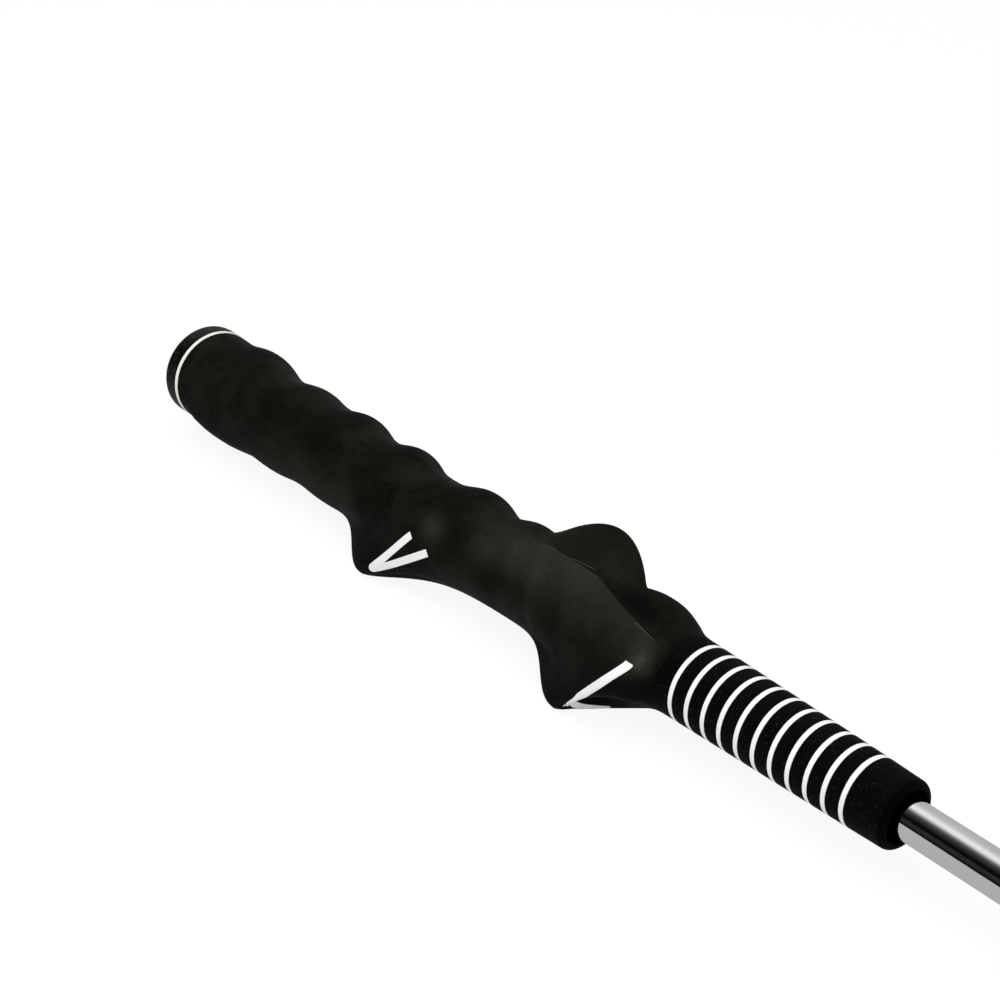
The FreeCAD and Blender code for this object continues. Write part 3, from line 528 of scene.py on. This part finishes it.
def rubber():
    """Matt black moulded rubber. Bloom greys the cheek and the place behind the fin. Painted
    light makes the cheek lighter towards its top, adds a sheen on the lower flanks, lightens
    the floors of the finger grooves and puts a painted highlight in front of the cheek; a spot
    in front of the first mark is lighter too. Painted shade darkens the hollow, the wedges'
    rear faces, the place ahead of the second wedge's crest, the finger ridges and the mouth.
    The fin is browner, less so along its keel, where that is painted shade, and the neck is
    close to pure black. Thin pale lines of painted highlight follow the fin's foot and the
    cheek's edge, and thin dark lines of painted shade lie just below the cheek's edge and in a
    crease behind the fin."""
    finish = Finish("moulded_rubber", Specular_IOR_Level=0.03)
    clouds = finish.noise(13.0, 4.0, 0.6).between(0.38, 0.66)
    smudges = finish.noise(5.5, 4.0, 0.62).between(0.52, 0.68)
    grain = finish.noise(0.35, 2.0, 0.6)
    specks = finish.noise(0.7, 2.0, 0.7).between(0.58, 0.72)
    colour = finish.blend(clouds, (0.0046, 0.0048, 0.0033), (0.0094, 0.0098, 0.0074))
    colour = finish.blend(smudges * 0.75, colour, (0.0026, 0.0027, 0.0019))
    # grey of Bloom, together with painted light on the cheek's top, the lower flanks and the
    # floors of the finger grooves
    bloom_and_painted_light = finish.laid("bloom_and_painted_light") * (clouds * 0.25 + 0.75)
    colour = finish.blend(bloom_and_painted_light, colour, (0.0262, 0.0264, 0.0220))
    # painted highlight in front of the cheek, where the first mask goes over 1
    colour = finish.blend(finish.laid("bloom_and_painted_light") - 1.0, colour, (0.075, 0.075, 0.068))
    colour = finish.blend(finish.laid("fin") * (clouds * 0.4 + 0.45), colour,
                          (0.0142, 0.0124, 0.0078))
    # painted shade, near black
    colour = finish.blend(finish.laid("painted_shade") * 0.9, colour, (0.0012, 0.0012, 0.0010))

    # the thin lines, in mm along the grip and degrees round it: pale painted highlights along
    # the fin's foot and the cheek's edge, and dark painted shade just below the cheek's edge
    # and in a crease behind the fin
    x, y, z = finish.apart()
    x = x * (1.0 / MM)
    angle = REST_ROLL - y.math("ARCTAN2", z) * (180.0 / math.pi)
    ahead = x - 159.0
    fin_foot = ahead * ahead * 0.0728 - ahead * 2.03 + 49.7
    cheek_edge = (x - 193.3) * 0.62 + 70.6
    crease = smudges * 2.4 + 76.0
    # each line: its angle, first and last x, half width, strength and tone
    for line, first, last, half, strength, tone in (
            (fin_foot, 158.0, 173.0, 0.9, 0.7, 0.075),
            (cheek_edge, 192.8, 200.4, 1.2, 1.0, 0.090),
            (cheek_edge - 2.6, 192.8, 200.4, 1.6, 0.9, 0.0012),
            (crease, 122.0, 142.0, 1.1, 0.6, 0.0014)):
        beside = (angle - line).math("ABSOLUTE") * -1.0
        along = x.between(first, first + 1.5) * (1.0 - x.between(last - 3.0, last))
        seen = beside.between(-half, -0.3 * half) * along * strength
        colour = finish.blend(seen * (grain * 0.6 + 0.5), colour, (tone, tone, tone * 0.8))

    neck = finish.blend(specks, (0.0021, 0.0021, 0.0024), (0.0170, 0.0168, 0.0156))
    colour = finish.blend(finish.laid("neck"), colour, neck)
    # painted shade: the rounded mouth edge and the end face go near black
    mouth = x.between(GRIP_END - 1.5, GRIP_END - 0.9)
    colour = finish.blend(mouth, colour, (0.0006, 0.0006, 0.0007))
    colour = finish.blend(grain.between(0.35, 0.7) * 0.4, colour, (0.0016, 0.0016, 0.0012))
    roughness = clouds * -0.05 + grain * 0.14 + 0.58
    height = grain * 0.5 + smudges * 0.3 + specks * 0.3
    return finish.feed(Base_Color=colour, Roughness=roughness,
                       Normal=finish.relief(height, 0.08))


AROUND = 216
STATION_STEP = 0.6
stations = np.arange(GRIP_START, NECK_START, STATION_STEP)
angles = np.arange(AROUND) * (360.0 / AROUND)
shape = bmesh.new()
rings = []
laid = {"bloom_and_painted_light": [], "fin": [], "painted_shade": [], "neck": []}
for x in stations:
    points = on_grip(x, skin_radius(x, angles), angles)
    rings.append([shape.verts.new(point) for point in points])
    for name, values in surface_masks(x, angles).items():
        laid[name].extend(values)
for x, radius in [(NECK_START, neck_radius_at(NECK_START))] + neck_outline():
    points = on_grip(x, np.full(AROUND, radius), angles)
    rings.append([shape.verts.new(point) for point in points])
    for name in laid:
        laid[name].extend(np.full(AROUND, 1.0 if name == "neck" else 0.0))
for ring, following in zip(rings, rings[1:] + rings[:1]):
    for i in range(AROUND):
        j = (i + 1) % AROUND
        shape.faces.new((ring[i], ring[j], following[j], following[i]))
grip = finished_mesh("rubber_grip", shape, 40.0)
for name, values in laid.items():
    grip.data.attributes.new(name, "FLOAT", "POINT").data.foreach_set("value", values)
grip.data.materials.append(rubber())
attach(grip, "root")
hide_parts("grip_sleeve")

# ---------------------------------------------------------------------------
# V marks: two white lines on each thumb wedge that meet in a point and show the thumb its
# place. They are thick white paint laid in a shallow channel, a little proud of the skin.
# ---------------------------------------------------------------------------
MARK_WIDTH = 2.15
MARK_PROUD = 0.08
MARK_SINK = 0.5


def white_paint():
    """White filler: faint yellowing, pinholes and a slightly uneven level."""
    finish = Finish("white_filler")
    stain = finish.noise(6.0, 3.0)
    pores = finish.noise(0.5, 2.0).between(0.66, 0.78)
    colour = finish.blend(stain, (0.93, 0.93, 0.92), (0.87, 0.87, 0.855))
    colour = finish.blend(pores * 0.5, colour, (0.55, 0.54, 0.50))
    return finish.feed(Base_Color=colour, Roughness=stain * 0.15 + 0.42,
                       Normal=finish.relief(finish.noise(0.9, 2.0), 0.03))


def skin_place(place):
    """Point on the skin, in mm, at (x, angle)."""
    x, angle = place
    radius = skin_radius(np.float64(x), np.float64(angle))
    return Vector(on_grip(np.float64(x), radius, np.float64(angle)) / MM)


def skin_normal(x, angle):
    """Outward unit normal of the skin there."""
    along = skin_place((x + 0.2, angle)) - skin_place((x - 0.2, angle))
    around = skin_place((x, angle + 1.0)) - skin_place((x, angle - 1.0))
    normal = along.cross(around).normalized()
    outward = skin_place((x, angle)) * Vector((0.0, 1.0, 1.0))
    return normal if normal.dot(outward) > 0.0 else -normal


def ribbon(shape, places):
    """Closed bar with a crowned top along places (x, angle) on the skin, round where it
    starts and nearly square where it ends."""
    across = [-1.0, -0.9, -0.5, 0.0, 0.5, 0.9, 1.0]
    sections = []
    for index, place in enumerate(places):
        half = MARK_WIDTH / 2.0
        for end, turn in ((places[0], half), (places[-1], 0.25)):
            short = turn - min((skin_place(place) - skin_place(end)).length, turn)
            half = half - turn + max(math.sqrt(turn * turn - short * short), 0.15 * turn)
        before = skin_place(places[max(index - 1, 0)])
        after = skin_place(places[min(index + 1, len(places) - 1)])
        here = skin_place(place)
        normal = skin_normal(*place)
        side = (after - before).cross(normal).normalized()
        top = []
        for share in across:
            near = here + side * (share * half)
            angle = REST_ROLL - math.degrees(math.atan2(near.y, near.z))
            on_skin = skin_place((near.x, angle))
            proud = MARK_PROUD if abs(share) < 0.95 else -0.05
            top.append(on_skin + normal * proud)
        under = [point - normal * MARK_SINK for point in (top[-1], top[0])]
        sections.append([shape.verts.new(point * MM) for point in top + under])
    for section, following in zip(sections, sections[1:]):
        for i in range(len(section)):
            j = (i + 1) % len(section)
            shape.faces.new((section[i], section[j], following[j], following[i]))
    shape.faces.new(sections[0])
    shape.faces.new(sections[-1][::-1])


def along_stops(apex, stops, steps=36):
    """Places on a smooth line through stops (x ahead of the apex, grip angle), closer
    together towards its ends."""
    given = np.array(stops)
    knots = np.arange(len(given))
    shares = (len(given) - 1.0) * (0.5 - 0.5 * np.cos(np.linspace(0.0, math.pi, steps + 1)))
    ahead, angle = (np.polynomial.Polynomial.fit(knots, given[:, k], 3)(shares)
                    for k in (0, 1))
    return [(apex + float(x), float(a)) for x, a in zip(ahead, angle)]


# each mark: its wedge, and the stops of its two lines from the vertex on
MARKS = {
    "first_v_mark": (
        "a",
        [(4.5, 172.0), (8.5, 162.3), (11.6, 152.2), (14.6, 139.8), (17.8, 124.1)],
        [(4.5, 172.0), (9.7, 166.5), (14.6, 158.3), (19.4, 147.7), (24.5, 133.3)]),
    "second_v_mark": (
        "b",
        [(2.3, 177.8), (6.1, 167.2), (9.8, 156.5), (15.3, 137.3), (18.5, 121.4), (20.0, 109.7)],
        [(2.3, 177.8), (3.0, 182.4), (4.2, 186.8), (5.6, 191.3), (7.3, 195.8), (9.0, 200.3)]),
}
paint = white_paint()
for name, (wedge, *lines) in MARKS.items():
    shape = bmesh.new()
    for stops in lines:
        ribbon(shape, along_stops(WEDGES[wedge]["apex"], stops))
    mark = finished_mesh("painted_" + name, shape, 40.0)
    mark.data.materials.append(paint)
    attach(mark, "root")
    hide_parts(name)

# ---------------------------------------------------------------------------
# Neck rings: eleven white lines let into grooves of the neck, level with the rubber. They
# are one ring, repeated along the neck and fitted to its taper by a node tree.
# ---------------------------------------------------------------------------
def neck_ring_tree(material):
    """Node tree that repeats one let-in ring along the tapering neck."""
    tree = bpy.data.node_groups.new("neck_rings", "GeometryNodeTree")
    sockets = [("First", FIRST_LINE * MM), ("Pitch", LINE_PITCH * MM),
               ("Width", (LINE_WIDTH - 0.06) * MM), ("Depth", (LINE_DEPTH - 0.02) * MM),
               ("Radius", neck_radius_at(FIRST_LINE) * MM),
               ("Taper", (NECK_RADIUS - MOUTH_RADIUS) / (GRIP_END - NECK_START)),
               ("Edge", 0.14 * MM)]
    for name, value in sockets:
        socket = tree.interface.new_socket(name, in_out="INPUT",
                                           socket_type="NodeSocketFloat")
        socket.default_value = value
    count = tree.interface.new_socket("Count", in_out="INPUT", socket_type="NodeSocketInt")
    count.default_value = LINE_COUNT
    tree.interface.new_socket("Mesh", in_out="OUTPUT", socket_type="NodeSocketGeometry")
    links = tree.links

    def add(kind, settings=None, inputs=None):
        made = tree.nodes.new(kind)
        for setting, value in (settings or {}).items():
            setattr(made, setting, value)
        for key, value in (inputs or {}).items():
            if isinstance(value, bpy.types.NodeSocket):
                links.new(value, made.inputs[key])
            else:
                made.inputs[key].default_value = value
        return made

    given = add("NodeGroupInput").outputs
    # the ring's section: a flat band with rounded corners, its top level with the rubber
    band = add("GeometryNodeCurvePrimitiveQuadrilateral", {}, {
        "Width": given["Depth"], "Height": given["Width"]})
    band = add("GeometryNodeFilletCurve", {"mode": "POLY"}, {
        "Curve": band.outputs[0], "Count": 3, "Radius": given["Edge"]})
    half_depth = add("ShaderNodeMath", {"operation": "MULTIPLY"}, {0: given["Depth"], 1: 0.5})
    middle = add("ShaderNodeMath", {"operation": "SUBTRACT"}, {
        0: given["Radius"], 1: half_depth.outputs[0]})
    circle = add("GeometryNodeCurvePrimitiveCircle", {}, {
        "Resolution": 160, "Radius": middle.outputs[0]})
    ring = add("GeometryNodeCurveToMesh", {}, {
        "Curve": circle.outputs[0], "Profile Curve": band.outputs[0]})
    upright = add("GeometryNodeTransform", {}, {
        "Geometry": ring.outputs[0], "Rotation": (0.0, math.pi / 2.0, 0.0)})
    start = add("ShaderNodeCombineXYZ", {}, {"X": given["First"]})
    step = add("ShaderNodeCombineXYZ", {}, {"X": given["Pitch"]})
    places = add("GeometryNodeMeshLine", {}, {
        "Count": given["Count"], "Start Location": start.outputs[0],
        "Offset": step.outputs[0]})
    rings = add("GeometryNodeInstanceOnPoints", {}, {
        "Points": places.outputs[0], "Instance": upright.outputs[0]})
    loose = add("GeometryNodeRealizeInstances", {}, {"Geometry": rings.outputs[0]})
    # each ring is drawn in towards the axis as the neck tapers
    where = add("GeometryNodeInputPosition")
    apart = add("ShaderNodeSeparateXYZ", {}, {0: where.outputs[0]})
    ahead = add("ShaderNodeMath", {"operation": "SUBTRACT"}, {
        0: apart.outputs["X"], 1: given["First"]})
    drop = add("ShaderNodeMath", {"operation": "MULTIPLY"}, {
        0: ahead.outputs[0], 1: given["Taper"]})
    share = add("ShaderNodeMath", {"operation": "DIVIDE"}, {
        0: drop.outputs[0], 1: given["Radius"]})
    scale = add("ShaderNodeMath", {"operation": "SUBTRACT"}, {0: 1.0, 1: share.outputs[0]})
    sizes = add("ShaderNodeCombineXYZ", {}, {
        "X": 1.0, "Y": scale.outputs[0], "Z": scale.outputs[0]})
    fitted = add("ShaderNodeVectorMath", {"operation": "MULTIPLY"}, {
        0: where.outputs[0], 1: sizes.outputs[0]})
    drawn = add("GeometryNodeSetPosition", {}, {
        "Geometry": loose.outputs[0], "Position": fitted.outputs[0]})
    smoothed = add("GeometryNodeSetShadeSmooth", {}, {"Geometry": drawn.outputs[0]})
    painted = add("GeometryNodeSetMaterial", {}, {
        "Geometry": smoothed.outputs[0], "Material": material})
    links.new(painted.outputs[0], add("NodeGroupOutput").inputs[0])
    return tree


def grown(name, tree):
    """Plain mesh object made by a node tree."""
    holder = bpy.data.objects.new(name + "_holder", bpy.data.meshes.new(name + "_empty"))
    bpy.context.scene.collection.objects.link(holder)
    modifier = holder.modifiers.new(name, "NODES")
    modifier.node_group = tree
    for socket in tree.interface.items_tree:
        if socket.in_out == "INPUT":
            modifier[socket.identifier] = socket.default_value
    bpy.context.view_layer.update()
    ready = holder.evaluated_get(bpy.context.evaluated_depsgraph_get())
    mesh = bpy.data.meshes.new_from_object(ready)
    mesh.name = name
    bpy.data.objects.remove(holder)
    piece = bpy.data.objects.new(name, mesh)
    bpy.context.scene.collection.objects.link(piece)
    return piece


neck_rings = grown("neck_rings", neck_ring_tree(paint))
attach(neck_rings, "root")
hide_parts("neck_ring_lines")

# ---------------------------------------------------------------------------
# Butt cap: separate rubber cap pressed into the grip's open end, smoother and darker than
# the grip, with a vent hole. An off-white ring sits on the step in front of its rim.
# ---------------------------------------------------------------------------
CAP_RADIUS = 13.6
CAP_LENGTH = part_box("butt_ring_line")[0].x / MM
CAP_EDGE = 2.6
VENT_RADIUS = 1.6
CAP_SHOULDER = 12.5
PLUG_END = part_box("butt_cap")[1].x / MM
PLUG_RADIUS = 7.75


def cap_rubber():
    """Smooth black rubber, slightly glossy from handling, with fine scuffs."""
    finish = Finish("cap_rubber", Specular_IOR_Level=0.14)
    scuffs = finish.noise(1.6, 4.0, 0.65)
    colour = finish.blend(scuffs.between(0.5, 0.75), (0.0014, 0.0015, 0.0010),
                          (0.0210, 0.0205, 0.0150))
    return finish.feed(Base_Color=colour, Roughness=scuffs * 0.2 + 0.42,
                       Normal=finish.relief(finish.noise(0.4), 0.02))


def cream_paint():
    """Off-white filler of the ring at the butt, a little greyed."""
    finish = Finish("cream_filler")
    stain = finish.noise(4.0, 3.0)
    colour = finish.blend(stain, (0.90, 0.89, 0.84), (0.80, 0.79, 0.73))
    return finish.feed(Base_Color=colour, Roughness=stain * 0.15 + 0.45,
                       Normal=finish.relief(finish.noise(0.7, 2.0), 0.03))


cap = turned("butt_cap_rubber", [
    (PLUG_END, VENT_RADIUS), (0.5, VENT_RADIUS), (0.0, VENT_RADIUS + 0.5),
    (0.0, 6.0), (0.35, 6.4), (0.35, 6.9), (0.0, 7.3),
    *rounding(CAP_EDGE, CAP_RADIUS - CAP_EDGE, CAP_EDGE, 180.0, -90.0),
    (CAP_LENGTH - 0.15, CAP_RADIUS), (CAP_LENGTH, CAP_RADIUS - 0.15),
    (CAP_LENGTH, CAP_SHOULDER), (GRIP_START, CAP_SHOULDER),
    (GRIP_START, PLUG_RADIUS),
    (PLUG_END, PLUG_RADIUS),
])
cap.data.materials.append(cap_rubber())
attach(cap, "root")
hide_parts("butt_cap")

butt_line = turned("butt_ring", [
    (CAP_LENGTH, CAP_SHOULDER), (CAP_LENGTH, CAP_RADIUS - 0.1),
    (CAP_LENGTH + 0.12, CAP_RADIUS + 0.02), (GRIP_START - 0.12, CAP_RADIUS + 0.02),
    (GRIP_START, CAP_RADIUS - 0.1), (GRIP_START, CAP_SHOULDER),
])
butt_line.data.materials.append(cream_paint())
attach(butt_line, "root")
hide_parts("butt_ring_line")

# ---------------------------------------------------------------------------
# Ferrule: short tapered ring of polished black plastic on the shaft, pushed against the
# weight head's rear face, as on a golf club.
# ---------------------------------------------------------------------------
FERRULE_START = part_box("ferrule")[0].x / MM
HEAD_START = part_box("weight_head")[0].x / MM


def ferrule_plastic():
    """Polished black celluloid with hairline turning marks."""
    finish = Finish("ferrule_plastic", Coat_Roughness=0.08)
    marks = finish.node("ShaderNodeTexWave", {"bands_direction": "X"}, {
        "Vector": finish.place(), "Scale": 900.0, "Distortion": 0.4, "Detail": 1.0})
    dust = finish.noise(2.0, 3.0)
    colour = finish.blend(dust, (0.009, 0.009, 0.010), (0.016, 0.016, 0.017))
    return finish.feed(Base_Color=colour, Roughness=dust * 0.1 + 0.18,
                       Normal=finish.relief(marks, 0.003))


ferrule = turned("ferrule_ring", [
    (FERRULE_START, SHAFT_FIT), (FERRULE_START, 6.1), (FERRULE_START + 0.4, 6.5),
    (HEAD_START - 4.0, 9.16), (HEAD_START - 3.8, 8.95), (HEAD_START - 3.3, 8.95),
    (HEAD_START - 3.1, 9.45), (HEAD_START - 0.2, 10.4), (HEAD_START, 10.2),
    (HEAD_START, SHAFT_FIT),
], around=96)
ferrule.data.materials.append(ferrule_plastic())
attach(ferrule, "root")
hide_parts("ferrule")

# ---------------------------------------------------------------------------
# Weight head: turned steel slug that makes the stick swing like a club. It is slid on the
# shaft, held by a roll pin across both, and has a turned groove near either end.
# ---------------------------------------------------------------------------
def turned_steel():
    """Satin steel with fine turning rings and light smudges."""
    finish = Finish("turned_steel", Metallic=1.0)
    rings = finish.node("ShaderNodeTexWave", {"bands_direction": "X"}, {
        "Vector": finish.place(), "Scale": 700.0, "Distortion": 0.6, "Detail": 2.0,
        "Detail Scale": 3.0})
    smudge = finish.noise(12.0, 4.0, 0.6)
    colour = finish.blend(smudge, (0.56, 0.57, 0.58), (0.44, 0.45, 0.46))
    roughness = smudge.between(0.4, 0.75) * 0.16 + rings * 0.06 + 0.2
    return finish.feed(Base_Color=colour, Roughness=roughness,
                       Normal=finish.relief(rings, 0.006))


recoat("weight_head", turned_steel())
recoat("weight_pin", turned_steel())

# ---------------------------------------------------------------------------
# Tip: soft black bumper glued over the shaft's front end, against the head, that keeps the
# steel off floors and walls.
# ---------------------------------------------------------------------------
def tip_rubber():
    """Matt black rubber with grey scuffs where the nose meets the floor."""
    finish = Finish("tip_rubber", Specular_IOR_Level=0.3)
    scuffs = finish.noise(2.5, 4.0, 0.7)
    colour = finish.blend(scuffs.between(0.55, 0.8), (0.009, 0.009, 0.009),
                          (0.035, 0.034, 0.032))
    return finish.feed(Base_Color=colour, Roughness=scuffs * 0.2 + 0.6,
                       Normal=finish.relief(finish.noise(0.5), 0.06))


recoat("tip_cap", tip_rubber())

# ---------------------------------------------------------------------------
# Studio: pale floor that the stick lies on, a surround, a large soft lamp overhead and a
# weaker one in front. The floor and the surround are white to the camera. Reflections show
# a floor half as bright and a studio that is dark on the near side.
# ---------------------------------------------------------------------------
GLOW_SEEN = 1.03            # strength of the floor's glow for camera and clear rays
GLOW_REFLECTED = 0.48       # and in reflections
GLOW_SHARE = 0.88           # the rest of the floor is lit, and keeps the stick's shadow


def white_to_the_eye(tree, lit):
    """Mixes a lit shader with a glow: white for camera and clear rays, and half as bright
    in reflections."""
    path = tree.nodes.new("ShaderNodeLightPath")
    glossy = path.outputs["Is Glossy Ray"]
    share = path.outputs["Is Camera Ray"]
    for other in (path.outputs["Is Transmission Ray"], glossy):
        larger = tree.nodes.new("ShaderNodeMath")
        larger.operation = "MAXIMUM"
        tree.links.new(share, larger.inputs[0])
        tree.links.new(other, larger.inputs[1])
        share = larger.outputs[0]
    strength = tree.nodes.new("ShaderNodeMath")
    strength.operation = "MULTIPLY_ADD"
    strength.inputs[1].default_value = GLOW_REFLECTED - GLOW_SEEN
    strength.inputs[2].default_value = GLOW_SEEN
    tree.links.new(glossy, strength.inputs[0])
    glow = tree.nodes.new("ShaderNodeEmission")
    tree.links.new(strength.outputs[0], glow.inputs["Strength"])
    most = tree.nodes.new("ShaderNodeMath")
    most.operation = "MULTIPLY"
    most.inputs[1].default_value = GLOW_SHARE
    tree.links.new(share, most.inputs[0])
    mix = tree.nodes.new("ShaderNodeMixShader")
    tree.links.new(most.outputs[0], mix.inputs[0])
    tree.links.new(lit.outputs[0], mix.inputs[1])
    tree.links.new(glow.outputs[0], mix.inputs[2])
    return mix


floor_level = cad_box[0].z
floor_mesh = bpy.data.meshes.new("studio_floor")
floor_half = 6.0
corners = [(-floor_half, -floor_half), (floor_half, -floor_half),
           (floor_half, floor_half), (-floor_half, floor_half)]
floor_mesh.from_pydata([(x, y, floor_level) for x, y in corners], [], [(0, 1, 2, 3)])
floor = bpy.data.objects.new("studio_floor", floor_mesh)
bpy.context.scene.collection.objects.link(floor)
pale = bpy.data.materials.new("pale_floor")
pale.use_nodes = True
pale_shader = pale.node_tree.nodes["Principled BSDF"]
pale_shader.inputs["Base Color"].default_value = (0.88, 0.88, 0.88, 1.0)
pale_shader.inputs["Roughness"].default_value = 0.9
pale_shader.inputs["Specular IOR Level"].default_value = 0.1
mixed = white_to_the_eye(pale.node_tree, pale_shader)
pale.node_tree.links.new(mixed.outputs[0],
                         pale.node_tree.nodes["Material Output"].inputs["Surface"])
floor_mesh.materials.append(pale)

# The surround is plain white to the camera, and even for light. In reflections it is a
# studio: dark on the near side, with a bright band overhead that fades down the far side.
world = bpy.data.worlds.new("studio_surround")
bpy.context.scene.world = world
world.use_nodes = True
sky = world.node_tree
even = sky.nodes["Background"]
even.inputs["Strength"].default_value = 0.42
even.inputs["Color"].default_value = (1.0, 1.0, 1.0, 1.0)
white = sky.nodes.new("ShaderNodeBackground")
white.inputs["Color"].default_value = (1.0, 1.0, 1.0, 1.0)
direction = sky.nodes.new("ShaderNodeTexCoord")
apart = sky.nodes.new("ShaderNodeSeparateXYZ")
sky.links.new(direction.outputs["Generated"], apart.inputs[0])
turn = sky.nodes.new("ShaderNodeMath")
turn.operation = "ARCTAN2"
sky.links.new(apart.outputs["Y"], turn.inputs[0])
sky.links.new(apart.outputs["Z"], turn.inputs[1])
share = sky.nodes.new("ShaderNodeMapRange")
share.inputs["From Min"].default_value = -math.pi
share.inputs["From Max"].default_value = math.pi
sky.links.new(turn.outputs[0], share.inputs["Value"])
bands = sky.nodes.new("ShaderNodeValToRGB")
sky.links.new(share.outputs[0], bands.inputs[0])
# (degrees from straight up round to the far side, brightness)
studio = [(-100, 0.004), (-84, 0.004), (-74, 0.028), (-62, 0.028), (-54, 0.002), (-42, 0.006),
          (-34, 0.02), (-22, 0.045), (-10, 0.13), (0, 0.5), (9, 0.95), (24, 1.0), (37, 0.73),
          (52, 0.6), (100, 0.5)]
for index, (degrees, level) in enumerate(studio):
    place = 0.5 + degrees / 360.0
    stop = bands.color_ramp.elements[0] if index == 0 else bands.color_ramp.elements.new(place)
    stop.position = place
    stop.color = (level, level, level, 1.0)
bands.color_ramp.elements.remove(bands.color_ramp.elements[-1])
cards = sky.nodes.new("ShaderNodeBackground")
sky.links.new(bands.outputs[0], cards.inputs["Color"])
path = sky.nodes.new("ShaderNodeLightPath")
seen = even
for rays, background in (("Is Glossy Ray", cards), ("Is Camera Ray", white)):
    choice = sky.nodes.new("ShaderNodeMixShader")
    sky.links.new(path.outputs[rays], choice.inputs[0])
    sky.links.new(seen.outputs[0], choice.inputs[1])
    sky.links.new(background.outputs[0], choice.inputs[2])
    seen = choice
sky.links.new(seen.outputs[0], sky.nodes["World Output"].inputs["Surface"])


def soft_lamp(name, place, size, power):
    """Square area lamp at place, turned to the middle of the grip."""
    light = bpy.data.lights.new(name, "AREA")
    light.size = size
    light.energy = power
    lamp = bpy.data.objects.new(name, light)
    lamp.location = place
    aim = Vector((0.15, 0.0, 0.0)) - Vector(place)
    lamp.rotation_euler = aim.to_track_quat("-Z", "Y").to_euler()
    lamp.visible_glossy = False
    bpy.context.scene.collection.objects.link(lamp)


soft_lamp("overhead_lamp", (0.15, -0.3, 1.2), 1.2, 12.0)
soft_lamp("front_lamp", (1.0, -0.3, 0.7), 0.6, 3.0)

# the camera looks down the stick from beyond the neck
view = bpy.data.cameras.new("camera")
view.lens = 73.1
view.sensor_width = 36.0
view.clip_start = 0.01
camera = bpy.data.objects.new("camera", view)
camera.location = (0.4718, -0.2745, 0.2668)
bpy.context.scene.collection.objects.link(camera)
forward = Vector((-0.6680, 0.5497, -0.5012)).normalized()
camera.rotation_euler = forward.to_track_quat("-Z", "Y").to_euler()
bpy.context.scene.camera = camera
bpy.context.scene.view_settings.view_transform = "Standard"
